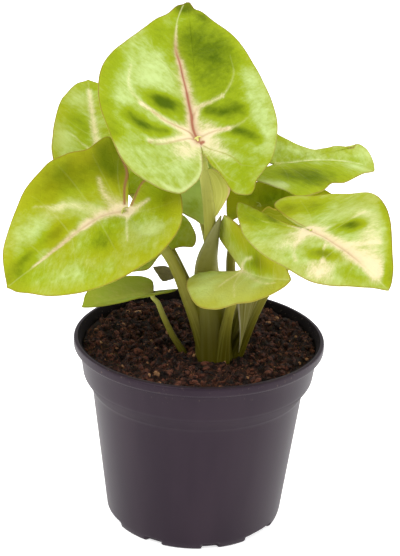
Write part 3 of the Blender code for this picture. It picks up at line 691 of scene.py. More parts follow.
def blade_marks(name, places, main, main_run, near):
    """Tone, cream and pink at every place, from the patches, the strokes and the veins."""
    look, tip = LOOKS[name], LEAVES[name].tip
    marks = np.zeros((len(places), 3)) + (look.tone, 0, 0)
    for patch in (Patch(*row) for row in PATCHES.get(name, ())):
        marks += patch_value(patch, places)[:, None] * (patch.tone, patch.cream, 0)
    for stroke in (Stroke(*row) for row in STROKES.get(name, ())):
        added = (stroke.tone, stroke.cream, stroke.pink)
        marks += stroke_value(stroke, places)[:, None] * added
    reach = np.hypot(*places.T)
    along_rib = bell(main, 2.6 * (1 - 0.75 * main_run)) * (1 - smooth(0.7, 1.0, main_run))
    along_vein = bell(near, 1.5) * bell(reach, 0.42 * tip)
    at_joint = bell(reach, 0.13 * tip)
    marks[:, 1] += look.cream * (0.75 * along_rib + 0.7 * along_vein + 0.7 * at_joint)
    rib_line = 0.9 * bell(main, 0.5) + 0.35 * bell(main, 1.5)
    marks[:, 2] += look.pink * rib_line * (1 - smooth(0.55, 0.85, main_run))
    return marks


def make_blade(name, seed):
    """One blade: top and underside a little apart, with the values its material reads."""
    leaf, look = LEAVES[name], LOOKS[name]
    grid = blade_grid(leaf, look, seed)
    line, _, ring, places = grid
    main, main_run, near, signed, rank = vein_values(name, places)
    local = np.column_stack([places, blade_height(name, grid, main, near, seed)])
    middle = np.array(leaf.joint) + local @ leaf_frame(leaf).T
    rows, width = look.around + 1, look.rings + 1
    faces = []
    for start in range(1, (rows - 1) * width, width):
        faces += [(0, start, start + width), *grid_faces(2, width, start)]
    half = 0.5 * (BLADE_EDGE + (BLADE - BLADE_EDGE) * (1 - ring**3))
    rib = RIB * bell(main, RIB_WIDTH) * (1 - 0.8 * smooth(0, 1, main_run))
    rib += VEIN_RIB * look.veins * RIB * bell(near, VEIN_RIB_WIDTH) * (1 - ring**2)
    border = [0] + grid_border(rows, width, 1)
    blade = shell(name + "_blade", middle, faces, border, half, half + rib, turned=True)
    put_values(blade, leaf_place=twice(local), vein=twice(np.column_stack([signed, near, rank])),
               marks=twice(blade_marks(name, places, main, main_run, near)),
               edge=twice(distance_to(line, places)[0]), under=np.repeat([0.0, 1.0], len(middle)))
    return blade


# ---- leaves: material

DARK_GREEN = (0.072, 0.122, 0.0005)
MID_GREEN = (0.31, 0.40, 0.010)
PALE_GREEN = (0.57, 0.69, 0.27)
GOLDEN_OLIVE = (0.40, 0.37, 0.003)
CREAM = (0.90, 0.76, 0.50)
PINK = (0.42, 0.17, 0.10)
VEIN_PALE = (0.72, 0.74, 0.34)
MARGIN_YELLOW = (0.46, 0.44, 0.02)
MARGIN_BROWN = (0.30, 0.14, 0.04)
UNDER_GREEN = (0.46, 0.56, 0.09)
GLOW_GREEN = (0.54, 0.62, 0.09)
WITHERED_DARK = (0.13, 0.11, 0.04)
WITHERED_LIGHT = (0.32, 0.28, 0.15)


def brush_place(g, place):
    """Place stretched along the side veins, for streaks that run outward from the midrib."""
    along, across, _ = g.parts(place)
    aside = g.math("ABSOLUTE", across)
    outward = g.math("MULTIPLY_ADD", along, 0.5, aside)
    return g.join(g.math("MULTIPLY_ADD", aside, -0.75, along), g.times(outward, 0.5), 0.0)


def leaf_greens(g, look, place, tone, grains, edge):
    """Dark, middle and pale green by tone, golden olive in clouds and a yellow border."""
    broad, brush, speckle = grains
    blotch = g.noise(place, 0.2, 3.0, 0.6, 0.6)
    level = tone
    for grain, reach in ((broad, 0.4), (blotch, 0.5), (brush, 0.55), (speckle, 0.18)):
        level = g.plus(level, g.spread(grain, -reach, reach))
    colour = g.mix(g.step(-1.7, 0.15, level), DARK_GREEN, MID_GREEN)
    colour = g.mix(g.step(-0.1, 1.1, level), colour, PALE_GREEN)
    clouds = g.step(0.3, 0.7, g.noise(place, 0.06))
    colour = g.mix(g.times(clouds, look.olive), colour, GOLDEN_OLIVE)
    border = g.times(g.step(5.0 + 4.0 * look.olive, 0.5, edge), g.spread(broad, 0.2, 1.1))
    return g.mix(g.times(border, 0.2 + 0.55 * look.olive), colour, MARGIN_YELLOW)


def leaf_cream(g, place, cream, grains, colour):
    """Cream with frayed edges, and cream flecks round it."""
    _, brush, speckle = grains
    fray = g.plus(g.spread(brush, -0.45, 0.45), g.spread(speckle, -0.4, 0.4))
    feather = g.math("MULTIPLY_ADD", fray, g.step(0.0, 0.4, cream), cream)
    colour = g.mix(g.times(g.step(0.0, 1.2, feather), 0.92), colour, CREAM)
    flecks = g.times(g.step(0.66, 0.74, g.noise(place, 1.9, 2.0, 0.6)), g.step(0.1, 0.4, cream))
    return g.mix(g.times(flecks, 0.6), colour, CREAM)


def leaf_lines(g, look, pink, broad, edge, colour):
    """Thin pale side veins, the pink of the main vein and the brown line of the margin."""
    signed, near, rank = g.parts(g.triple("vein"))
    fine = g.times(g.step(0.40, 0.10, g.math("ABSOLUTE", signed)), g.step(1.6, 0.8, near))
    side_vein = g.times(fine, g.spread(g.step(1.0, 0.1, rank), 0.1, 0.6))
    colour = g.mix(g.times(side_vein, look.veins), colour, VEIN_PALE)
    colour = g.mix(g.times(pink, 0.85), colour, PINK)
    rim = g.times(g.step(0.50, 0.10, edge), g.spread(broad, 0.1, 0.9))
    return g.mix(rim, colour, MARGIN_BROWN)


def leaf_relief(g, streak, grain):
    """Fine net of veins, grain and shallow folds."""
    net = g.cells(g.scaled(streak, (0.6, 1.4, 1.0)), 0.5)
    relief = g.math("MULTIPLY_ADD", g.step(0.0, 0.12, net), 0.35, g.times(grain, 0.5))
    relief = g.plus(relief, g.times(g.noise(streak, 0.35, 3.0, 0.5), 2.4))
    return g.bump(relief, 0.22, 0.8)


def leaf_material(name):
    """Waxy blade: greens in patches, cream along the veins, pink midrib, brown margin."""
    look = LOOKS[name]
    g = Graph("skin_" + name)
    place = g.triple("leaf_place")
    tone, cream, pink = g.parts(g.triple("marks"))
    edge = g.number("edge")
    streak = brush_place(g, place)
    broad = g.noise(place, 0.09)
    grains = (broad, g.noise(streak, 0.5, 5.0, 0.62), g.noise(streak, 1.5, 3.0, 0.6))
    grain = g.noise(place, 1.3, 4.0, 0.65)
    colour = leaf_greens(g, look, place, tone, grains, edge)
    colour = leaf_cream(g, place, cream, grains, colour)
    colour = leaf_lines(g, look, pink, broad, edge, colour)
    colour = g.mix(g.number("under"), colour, g.mix(0.42, colour, UNDER_GREEN))
    if name == "leaf_withered":
        colour = g.mix(grain, WITHERED_DARK, WITHERED_LIGHT)
    skin = g.surface(colour, g.spread(grain, 0.38, 0.56), 0.03, Normal=leaf_relief(g, streak, grain))
    return g.end(g.lit_through(skin, g.mix(0.35, colour, GLOW_GREEN), look.thin))


def make_leaves():
    for number, name in enumerate(LEAVES):
        blade = make_blade(name, number + 1)
        dress(blade, leaf_material(name), name)


# ---- stalks

# Each petiole's route up to its leaf, and its radius at the foot and at the leaf.
STALKS = {
    "leaf_top": (
        ((6, -14, 60), (4.6, -12.2, 80), (2.9, -9.4, 98), (2.4, -8, 114), (1, -6.8, 126),
         (-0.8, -5.8, 135)),
        (2.6, 1.5)),
    "leaf_left": (
        ((5.2, -13, 60), (1.2, -13.2, 74), (-3.6, -13.3, 87), (-9.9, -13.6, 102.6), (-18, -14, 113)),
        (2.5, 1.5)),
    "leaf_right_low": (
        ((10.8, -10, 60), (16, -12, 76.3), (21.7, -15, 91.7), (28, -20, 104), (32.5, -24, 113)),
        (1.9, 1.2)),
    "leaf_right_high": (
        ((10, -9, 60), (13.4, -2, 76), (17, 13, 92), (20, 26, 107), (23.5, 30.5, 118)),
        (1.9, 1.2)),
    "leaf_front": (
        ((8, -15.5, 60), (8.8, -17, 77), (10.6, -20, 90), (12.4, -22, 98)),
        (2, 1.2)),
    "leaf_behind_left": (
        ((4.6, -9.5, 60), (-0.2, -5.5, 76), (-5.4, -1.4, 89), (-10.6, 1, 98.5)),
        (1.7, 1.1)),
    "leaf_back_left": (
        ((5.4, -7, 60), (1, 0, 74), (-6.6, 8, 90), (-18, 16.5, 107), (-31, 21, 121.5)),
        (1.8, 1.2)),
    "leaf_young": (
        ((7.4, -7, 60), (5, -3, 82), (3.2, 0.5, 100), (1.8, 4, 110)),
        (1.8, 1.1)),
    "leaf_back_right": (
        ((10.4, -7, 60), (11.3, 0, 80), (10.4, 6.5, 98), (13.5, 13, 105.5)),
        (2, 1.2)),
    "leaf_back": (
        ((8.4, -7, 60), (7.4, -3, 76), (3, 12, 97), (-2, 25, 112)),
        (1.9, 1.2)),
    "leaf_low_left": (
        ((-3.2, -8.8, 59), (-5.2, -8.7, 66), (-9.4, -8.5, 73), (-12.8, -8.2, 80), (-14.8, -7.6, 84.6)),
        (1.3, 0.7)),
}
STALK_STEPS = 90
STALK_AROUND = 28
RUN = np.linspace(0, 1, STALK_STEPS)
ANGLE = np.linspace(0, 2 * pi, STALK_AROUND, endpoint=False)
FLARE = 1.0           # how much wider a petiole's foot is
THIN_FLARE = 0.3      # the same, for the petiole that stands alone
RIDGES = 9            # faint ridges round a petiole
RIDGE_HEIGHT = 0.008  # as a share of its radius
GROOVE_DEPTH = 0.10   # of the groove in its front, as a share of its radius
SWELLING = 0.35       # how much wider it gets at the leaf, as a share of its radius
APPROACH = (1.6, 0.15)    # where its last two points lie below the joint
# The pointed sheath between the stalks: its route and its radii.
SHEATH = ((6.2, -11.6, 60), (4.3, -11, 82), (1.8, -10.4, 99), (3.2, -10.6, 109), (6, -10.4, 118.8))
SHEATH_RADII = (7.0, 6.2, 4.2, 2.5, 0.3)

# Colours at the foot, the middle and the top.
STALK_COLOURS = {
    "stalk_green": ((0.062, 0.052, 0.0006), (0.23, 0.21, 0.025), (0.52, 0.54, 0.13)),
    # For leaf_top's petiole: its pale middle and top are partly painted light, against the shade of
    # leaf_top over it.
    "stalk_pale_painted_light": ((0.062, 0.052, 0.0006), (0.34, 0.33, 0.05), (0.80, 0.81, 0.24)),
    "sheath_grey_green": ((0.060, 0.051, 0.001), (0.175, 0.165, 0.015), (0.225, 0.22, 0.085)),
}

# Thin wings of two petioles and the curled margin of a leaf: the line where each joins the
# rest, then its free edge.
SHEETS = {
    "sheath_wing": (
        ((1.9, -7.5, 117), (1.6, -7.2, 121), (1.2, -7, 124.5), (0.6, -6.6, 129), (-0.6, -5.9, 134)),
        ((4.7, -8, 118.2), (7.6, -5.6, 122.8), (8.7, -5, 126.5), (6.6, -5.5, 131.4), (2, -6.5, 134.4)),
    ),
    "sheath_fan": (
        ((14.2, -11.3, 69.5), (15.6, -11.9, 75), (17.5, -12.6, 80.4), (19.6, -13.7, 85.9),
         (21.7, -15, 91.7)),
        ((14, -14.2, 69.8), (14.2, -16, 75.3), (13.8, -17, 81.4), (13, -17.5, 87.2), (12.3, -17.5, 91.8)),
    ),
    "leaf_back_right_curl": (
        ((21.4, 11.8, 109.8), (23.9, 11.6, 109.2), (26.4, 11.4, 108.8), (28.9, 10.6, 107.8),
         (31.4, 9.6, 107.5), (33.5, 8.8, 107.5), (35.2, 8.2, 108.2), (36.2, 8, 109.4)),
        ((20.8, 11.2, 113.4), (22.9, 11.6, 115.5), (25.4, 10.8, 114.8), (27.5, 10.8, 115.6),
         (30, 9.6, 114.6), (32.4, 9.2, 115.2), (34.6, 8.4, 112.9), (35.8, 8, 110.9)),
    ),
}
SHEET_ROWS = 48
SHEET_COLUMNS = 16
SHEET_BOW = 0.8
SHEET_RIPPLE = 0.5
SHEET_HALF = 0.25     # half its thickness where it joins the rest
SHEET_THINNING = 0.12
# Green, pale stripe and free edge of each sheet, then its slot and node.
SHEET_LOOKS = {
    "sheath_wing": ((0.62, 0.62, 0.11), (0.76, 0.76, 0.24), (0.70, 0.48, 0.28), "petiole", "stems"),
    "sheath_fan": ((0.16, 0.14, 0.012), (0.36, 0.34, 0.12), (0.62, 0.56, 0.42), "petiole", "stems"),
    "leaf_back_right_curl": ((0.40, 0.44, 0.006), (0.54, 0.56, 0.05), (0.90, 0.70, 0.14),
                             "leaf_shaded", "leaf_back_right"),
}


def sides_along(path):
    """Side and up at every point of a path, turned as little as possible."""
    tangents = np.gradient(path, axis=0)
    tangents /= np.linalg.norm(tangents, axis=1)[:, None]
    side = np.cross(tangents[0], (0.0, -1.0, 0.0))
    side /= np.linalg.norm(side)
    sides = []
    for t in tangents:
        side = side - t * (side @ t)
        side /= np.linalg.norm(side)
        sides.append(side)
    sides = np.array(sides)
    return sides, np.cross(sides, tangents)


def tube(name, route, radius):
    """Closed tube along a route, with a radius for every step and angle."""
    path = catmull(route, STALK_STEPS)
    sides, ups = sides_along(path)
    ring = (sides[:, None, :] * np.cos(ANGLE)[None, :, None]
            + ups[:, None, :] * np.sin(ANGLE)[None, :, None])
    points = (path[:, None, :] + ring * radius[:, :, None]).reshape(-1, 3)
    end = len(points)
    faces = ring_faces(STALK_STEPS, STALK_AROUND) + fan_faces(end, 0, STALK_AROUND)
    faces += fan_faces(end + 1, end - STALK_AROUND, STALK_AROUND)
    obj = closed_object(name, np.vstack([points, path[0], path[-1]]), faces)
    put_values(obj, run=np.append(np.repeat(RUN, STALK_AROUND), [0.0, 1.0]),
               round=np.append(np.tile(np.cos(ANGLE), STALK_STEPS), [0.0, 0.0]))
    return obj


def stalk_radius(first, last, flare):
    """Tapered, with a groove in front and faint ridges, wider at the foot and at the leaf."""
    run, angle = RUN[:, None], ANGLE[None, :]
    base = first + (last - first) * run
    foot = flare * (1 - smooth(0.0, 0.35, run))
    groove = GROOVE_DEPTH * base * bell(angle - pi / 2, 0.45)
    ridges = RIDGE_HEIGHT * base * np.cos(RIDGES * angle)
    swell = SWELLING * smooth(0.93, 1.0, run) * last
    return base + foot - groove + ridges + swell


def stalk_material(name, foot, middle, top):
    """Green stalk: darker olive at the foot, paler above, with fine lengthwise lines."""
    g = Graph(name)
    run, turn = g.number("run"), g.number("round")
    lines = g.noise(g.join(g.times(turn, 4.0), g.times(run, 1.5), 0.0), 1.0, 3.0, 0.6)
    spots = g.noise(g.place(), 420.0, 3.0, 0.6)
    colour = g.mix(g.step(0.15, 0.5, run), foot, middle)
    colour = g.mix(g.step(0.4, 1.0, run), colour, top)
    colour = g.mix(g.times(g.step(0.45, 0.75, lines), 0.12), colour, top)
    colour = g.mix(g.times(g.step(0.5, 0.8, spots), 0.25), colour, foot)
    skin = g.surface(colour, g.spread(spots, 0.35, 0.55), 0.12, Normal=g.bump(lines, 0.10, 0.4))
    return g.end(g.lit_through(skin, colour, 0.08))


def thin_sheet(name, inner, outer):
    """Thin sheet between the line where it joins the rest and its free edge, bowed to the front."""
    start, stop = catmull(inner, SHEET_ROWS)[:, None], catmull(outer, SHEET_ROWS)[:, None]
    share = np.linspace(0, 1, SHEET_COLUMNS)
    middle = (start + (stop - start) * share[None, :, None]).reshape(-1, 3)
    share = np.tile(share, SHEET_ROWS)
    middle[:, 1] -= SHEET_BOW * np.sin(pi * share) + SHEET_RIPPLE * share * lumps(middle, 3.0, 4)
    joined = [SHEET_COLUMNS * i for i in range(SHEET_ROWS - 2, 0, -1)]
    border = grid_border(SHEET_ROWS, SHEET_COLUMNS) + joined
    half = SHEET_HALF - SHEET_THINNING * share
    sheet = shell(name, middle, grid_faces(SHEET_ROWS, SHEET_COLUMNS), border, half, half)
    put_values(sheet, share=twice(share))
    return sheet


def sheet_material(name, green, pale, edge):
    """Papery sheet: striped, lets light through, with a free edge of its own colour."""
    g = Graph("skin_" + name)
    share = g.number("share")
    lines = g.noise(g.join(g.times(share, 9.0), 0.0, 0.0), 1.0, 3.0, 0.6)
    spots = g.noise(g.place(), 300.0, 3.0, 0.6)
    colour = g.mix(g.step(0.3, 0.7, lines), green, pale)
    colour = g.mix(g.times(spots, 0.3), colour, green)
    colour = g.mix(g.times(g.step(0.86, 0.98, share), 0.7), colour, edge)
    skin = g.surface(colour, g.spread(spots, 0.4, 0.6), 0.12, Normal=g.bump(lines, 0.1, 0.4))
    return g.end(g.lit_through(skin, colour, 0.45))


def make_stalks():
    skins = {name: stalk_material(name, *colours) for name, colours in STALK_COLOURS.items()}
    for name, (route, radii) in STALKS.items():
        leaf = LEAVES[name]
        joint, up = np.array(leaf.joint), leaf_frame(leaf)[:, 2]
        alone = name == "leaf_low_left"
        radius = stalk_radius(*radii, THIN_FLARE if alone else FLARE)
        route = [*route, *(joint - below * up for below in APPROACH)]
        piece = tube(name.replace("leaf", "petiole"), route, radius)
        # leaf_top's petiole takes the paler colours, partly painted light against the shade of its blade.
        skin = skins["stalk_pale_painted_light" if name == "leaf_top" else "stalk_green"]
        dress(piece, skin, "small_petiole" if alone else "stems")
    radius = np.interp(RUN, np.linspace(0, 1, len(SHEATH_RADII)), SHEATH_RADII)
    piece = tube("sheath_top", SHEATH, np.repeat(radius[:, None], STALK_AROUND, axis=1))
    dress(piece, skins["sheath_grey_green"], "stems")


def make_sheets():
    for name, (*colours, slot, node) in SHEET_LOOKS.items():
        dress(thin_sheet(name, *SHEETS[name]), sheet_material(name, *colours), node)


# ---- pot

POT_HEIGHT = 70.0
RIM_RADIUS = 45.0
LIP_WIDTH = 2.2
LIP_DROP = 3.4
COLLAR_TOP_RADIUS = 42.9
COLLAR_LOW_RADIUS = 41.5
COLLAR_LOW = 56.0
WALL_TOP_RADIUS = 38.3
WALL_TOP = 51.0
FOOT_RADIUS = 32.4
FOOT_ROUND = 2.4
FOOT_RING = 3.0       # width of the ring that the pot stands on
UNDER_LIFT = 0.5      # height of the underside inside that ring
WALL = 1.3
FLOOR = 1.6
CENTRE = 0.01         # radius where the section begins and ends
CORNER_CUT = 1.1      # length cut from each side of a corner to round it
LONGEST_STEP = 3.0
# Notches in the foot: direction and width, in degrees.
FOOT_NOTCHES = (
    (-67.5, 25.0), (-26.0, 11.0), (12.0, 11.0), (50.0, 25.0), (92.0, 11.0),
    (132.0, 11.0), (172.0, 25.0), (-148.0, 11.0), (-107.0, 11.0),
)
NOTCH_SLOPE = 0.8     # degrees either way over which a notch begins and ends
NOTCH_HEIGHT = 2.2
NOTCH_DEPTH = 1.6
POT_AROUND = 360
PLASTIC_DARK = (0.011, 0.0048, 0.0105)
PLASTIC_LIGHT = (0.017, 0.009, 0.0155)
# The inner wall's near black is painted shade, where the walls keep the light out.
INSIDE_PAINTED_SHADE = (0.002, 0.001, 0.001)
PLASTIC_SHEEN = (1.0, 0.88, 1.0)
DUST = (0.16, 0.12, 0.09)
DUST_FROM = 60.0      # height where specks of soil begin


def rounded(points, radius, steps=6):
    """A section's corners replaced by short arcs (quadratic), radius being the cut length."""
    pts = [np.array(p, float) for p in points]
    out = [pts[0]]
    for a, b, c in zip(pts, pts[1:], pts[2:]):
        before, after = np.linalg.norm(a - b), np.linalg.norm(c - b)
        cut = min(radius, 0.45 * before, 0.45 * after)
        start, stop = b + (a - b) / before * cut, b + (c - b) / after * cut
        for t in np.linspace(0, 1, steps):
            out.append(start * (1 - t)**2 + 2 * b * t * (1 - t) + stop * t**2)
    out.append(pts[-1])
    return out


def split_long(points, longest):
    """Points added so that no step is longer than longest."""
    out = [points[0]]
    for a, b in zip(points, points[1:]):
        parts = max(1, int(np.ceil(np.linalg.norm(b - a) / longest)))
        out += [a + (b - a) * (k + 1) / parts for k in range(parts)]
    return np.array(out)


def pot_section():
    """Half section (radius, height): inside, lip, outside and underside."""
    lip_inner = RIM_RADIUS - LIP_WIDTH
    lip_low = POT_HEIGHT - LIP_DROP
    return [
        (CENTRE, FLOOR), (FOOT_RADIUS - WALL - 0.6, FLOOR), (WALL_TOP_RADIUS - WALL, WALL_TOP),
        (COLLAR_LOW_RADIUS - WALL, COLLAR_LOW + 1.0), (lip_inner - 0.6, lip_low),
        (lip_inner, POT_HEIGHT), (RIM_RADIUS, POT_HEIGHT), (RIM_RADIUS, lip_low),
        (COLLAR_TOP_RADIUS, lip_low - 0.2), (COLLAR_LOW_RADIUS, COLLAR_LOW),
        (WALL_TOP_RADIUS, WALL_TOP), (FOOT_RADIUS, FOOT_ROUND), (FOOT_RADIUS - 0.8, 0.0),
        (FOOT_RADIUS - FOOT_RING, 0.0), (FOOT_RADIUS - FOOT_RING - 0.4, UNDER_LIFT),
        (CENTRE, UNDER_LIFT),
    ]


def make_pot():
    section = split_long(rounded(pot_section(), CORNER_CUT), LONGEST_STEP)
    rings = len(section)
    angles = np.linspace(0, 2 * pi, POT_AROUND, endpoint=False)
    radius = np.repeat(section[:, :1], POT_AROUND, axis=1)
    height = np.repeat(section[:, 1:], POT_AROUND, axis=1)
    outside = np.arange(rings)[:, None] > rings // 2
    for centre, arc in FOOT_NOTCHES:
        off = np.degrees(np.abs((angles - radians(centre) + pi) % (2 * pi) - pi))
        inside = 1 - smooth(arc / 2 - NOTCH_SLOPE, arc / 2 + NOTCH_SLOPE, off)
        low = (1 - smooth(NOTCH_HEIGHT - 0.3, NOTCH_HEIGHT + 0.3, height)) * outside
        radius = radius - NOTCH_DEPTH * inside * low * (radius > FOOT_RADIUS - FOOT_RING - 0.2)
    points = np.stack([radius * np.sin(angles), -radius * np.cos(angles), height], 2)
    faces = ring_faces(rings, POT_AROUND)
    faces.append(tuple(range(POT_AROUND)))
    faces.append(tuple(range((rings - 1) * POT_AROUND, rings * POT_AROUND)))
    pot = closed_object("pot_shell", points.reshape(-1, 3), faces)
    before_lip = np.arange(rings) < np.argmax(section[:, 1])
    put_values(pot, inside=np.repeat(before_lip.astype(float), POT_AROUND))
    dress(pot, pot_material(), "pot")


def pot_material():
    """Satin moulded plastic with faint flow marks, specks of soil at the lip and painted shade on the
    inner wall.
    """
    g = Graph("moulded_plastic")
    place, inside = g.place(), g.number("inside")
    z = g.parts(place)[2]
    flow = g.noise(g.scaled(place, (1.0, 1.0, 0.25)), 60.0, 3.0, 0.5)
    grain = g.noise(place, 2600.0)
    dust = g.noise(place, 900.0, 4.0, 0.7)
    colour = g.mix(g.step(0.3, 0.7, flow), PLASTIC_DARK, PLASTIC_LIGHT)
    # Painted shade: the inner wall is darker than the same plastic outside.
    colour = g.mix(inside, colour, INSIDE_PAINTED_SHADE)
    near_top = g.step(DUST_FROM * MM, (POT_HEIGHT - 0.5) * MM, z)
    speck = g.times(g.step(0.60, 0.72, dust), near_top)
    colour = g.mix(g.times(speck, 0.5), colour, DUST)
    slope = g.times(g.step((WALL_TOP - 1.0) * MM, (WALL_TOP + 0.6) * MM, z),
                    g.step((COLLAR_LOW + 1.2) * MM, (COLLAR_LOW - 0.4) * MM, z))
    roughness = g.plus(g.spread(flow, 0.38, 0.48), g.times(speck, 0.2))
    roughness = g.math("MAXIMUM", roughness, g.math("MAXIMUM", inside, g.times(slope, 0.62)))
    normal = g.bump(grain, 0.03, 0.5)
    return g.end(g.surface(colour, roughness, 0.2, Normal=normal, Specular_Tint=PLASTIC_SHEEN))


# ---- soil

SOIL_LEVEL = 66.9
SOIL_GAP = 0.35       # between the soil and the pot's wall
CRUMB_GAP = 1.2       # between the wall and the middle of a crumb
FIBRE_GAP = 1.5       # between the wall and a fibre
SOIL_AROUND = 220
SOIL_RINGS = 74
SWELLS = ((9.0, 1.3), (4.0, 0.78))   # size and height of the wide waves
CLODS = (3.6, 1.8)    # size and height
BITS = (1.3, 0.8)     # size and height
CROWN = (8.0, -10.5)  # middle of the stems, where the soil stays bare
CROWN_RADIUS = 8.4
FIBRE_STEPS = 6
SOIL_GRAIN = (0.16, 0.06, 0.035)
# Dark and light of each part of the mix.
SOIL_COLOURS = {
    "peat": ((0.003, 0.001, 0.0006), (0.045, 0.014, 0.007)),
    "peat_crumbs": ((0.006, 0.0018, 0.001), (0.14, 0.042, 0.022)),
    "peat_fibres": ((0.035, 0.010, 0.005), (0.22, 0.08, 0.04)),
    "bark_bits": ((0.20, 0.09, 0.04), (0.46, 0.26, 0.12)),
}


def inner_radius(z):
    """Radius of the pot's inside at a height."""
    wall = pot_section()[1:6]
    for (r0, z0), (r1, z1) in zip(wall, wall[1:]):
        if z <= z1:
            return r0 + (r1 - r0) * (z - z0) / (z1 - z0)
    return wall[-1][0]


def soil_height(x, y):
    """Height of the soil's surface without its crumble."""
    place = Vector((x, y, 30.0))
    return SOIL_LEVEL + sum(height * noise.noise(place / size) for size, height in SWELLS)


def crumble(x, y):
    """Small-scale roughness of the soil's surface."""
    clods = 1 - 2 * abs(noise.noise(Vector((x / CLODS[0], y / CLODS[0], 0.4))))
    bits = noise.noise(Vector((x / BITS[0], y / BITS[0], 5.5)))
    return CLODS[1] * (clods - 0.65) + BITS[1] * bits


def soil_rings():
    """Rings of the soil from its middle to the wall, then down the wall to the pot's floor."""
    edge = inner_radius(SOIL_LEVEL - 2) - SOIL_GAP
    angles = np.linspace(0, 2 * pi, SOIL_AROUND, endpoint=False)
    points = []
    for ring in range(1, SOIL_RINGS + 1):
        radius = edge * ring / SOIL_RINGS
        settle = 1 - 0.6 * (ring / SOIL_RINGS)**10
        for a in angles:
            x, y = radius * cos(a), radius * sin(a)
            points.append((x, y, soil_height(x, y) + crumble(x, y) * settle))
    low = ((COLLAR_LOW + 1.0, COLLAR_LOW + 0.5), (WALL_TOP, WALL_TOP - 0.4), (3, FLOOR + SOIL_GAP))
    for wall, z in low:
        radius = inner_radius(wall) - SOIL_GAP
        points += [(radius * cos(a), radius * sin(a), z) for a in angles]
    return points


def make_soil():
    n = SOIL_AROUND
    rings = soil_rings()
    last = len(rings) + 1
    faces = fan_faces(0, 1, n)
    faces += [(a, d, c, b) for a, b, c, d in ring_faces(len(rings) // n, n, 1)]
    faces += fan_faces(last, last - n, n)
    points = [(0.0, 0.0, soil_height(0, 0)), *rings, (0.0, 0.0, FLOOR + SOIL_GAP)]
    dress(closed_object("soil_bed", points, faces), soil_material("peat"), "soil")


def soil_material(name):
    """Matt, grainy mix of a dark and a light tone."""
    g = Graph(name)
    clumps = g.noise(g.place(), 330.0, 5.0, 0.7)
    grain = g.noise(g.place(), 1800.0, 3.0, 0.7)
    colour = g.mix(g.step(0.40, 0.72, clumps), *SOIL_COLOURS[name])
    colour = g.mix(g.times(g.step(0.62, 0.75, grain), 0.6), colour, SOIL_GRAIN)
    normal = g.bump(g.plus(clumps, g.times(grain, 0.5)), 0.8, 0.9)
    return g.end(g.surface(colour, 0.8, 0.25, Normal=normal))


def random_place(rng, limit):
    r, a = limit * sqrt(rng.random()), rng.random() * 2 * pi
    return r * cos(a), r * sin(a)


def blocked(x, y):
    """True where stems stand."""
    return (x - CROWN[0])**2 + (y - CROWN[1])**2 < CROWN_RADIUS**2


def icosahedron():
    """Its twelve corners and twenty faces."""
    bm = bmesh.new()
    bmesh.ops.create_icosphere(bm, subdivisions=1, radius=1)
    bm.verts.ensure_lookup_table()
    corners = np.array([v.co[:] for v in bm.verts])
    faces = [tuple(v.index for v in f.verts) for f in bm.faces]
    bm.free()
    return corners, faces


def make_crumbs(name, count, sizes, material, seed, lift):
    """Many rough crumbs lying on the soil, in one mesh."""
    rng = random.Random(seed)
    corners, shape = icosahedron()
    points, faces = [], []
    limit = inner_radius(SOIL_LEVEL) - CRUMB_GAP
    for _ in range(count):
        x, y = random_place(rng, limit)
        size = sizes[0] + (sizes[1] - sizes[0]) * rng.random()**3
        spin = Matrix.Rotation(rng.random() * 6, 3, Vector((rng.random(), rng.random(), 1)).normalized())
        stretch = np.array([rng.uniform(0.6, 1.5), rng.uniform(0.6, 1.2), rng.uniform(0.5, 0.9)])
        jitter = np.array([rng.uniform(0.75, 1.2) for _ in corners])
        if blocked(x, y):
            continue
        body = (corners * jitter[:, None] * stretch * size) @ np.array(spin).T
        z = soil_height(x, y) + crumble(x, y) + lift * size
        faces += [tuple(len(points) + v for v in f) for f in shape]
        points += (body + (x, y, z)).tolist()
    crumbs = mesh_object(name, points, faces, smooth_faces=False)
    dress(crumbs, soil_material(material), "soil")


def fibre_points(place, heading, length, bend, thick, rise, limit):
    """Three-sided fibre, thickest in the middle and raised there, kept inside the pot."""
    points = []
    for t in np.linspace(0, 1, FIBRE_STEPS):
        h = heading + bend * t
        x, y = place[0] + length * t * cos(h), place[1] + length * t * sin(h)
        inward = min(1.0, limit / sqrt(x * x + y * y))
        x, y = x * inward, y * inward
        z = soil_height(x, y) + crumble(x, y) + 0.15 + rise * sin(pi * t)
        width = thick * (1 - 0.7 * abs(2 * t - 1))
        for angle in (0, 2 * pi / 3, 4 * pi / 3):
            aside = width * cos(angle)
            points.append((x - aside * sin(h), y + aside * cos(h), z + width * sin(angle)))
    return points


def make_fibres(name, count, material, seed):
    """Short curved peat fibres lying across the soil, in one mesh."""
    rng = random.Random(seed)
    points, faces = [], []
    limit = inner_radius(SOIL_LEVEL) - FIBRE_GAP
    for _ in range(count):
        place = random_place(rng, limit)
        heading, length = rng.random() * 2 * pi, rng.uniform(1.5, 5.5)
        bend, thick = rng.uniform(-1.2, 1.2), rng.uniform(0.07, 0.17)
        rise = rng.uniform(-0.1, 0.7)
        if blocked(*place):
            continue
        start = len(points)
        points += fibre_points(place, heading, length, bend, thick, rise, limit)
        end = len(points) - 3
        faces += ring_faces(FIBRE_STEPS, 3, start)
        faces += [(start, start + 2, start + 1), (end, end + 1, end + 2)]
    dress(mesh_object(name, points, faces), soil_material(material), "soil")


# ---- stage

WHITE = (1.0, 1.0, 1.0)
FLOOR_HALF = 3000.0
FLOOR_GREYS = ((0.93, 0.93, 0.93), (0.95, 0.95, 0.95))
FLOOR_GLOW = 0.60
SKY_LIGHT = 0.72      # strength of the surroundings as a light
SKY_SEEN = 0.98       # and where the camera sees them

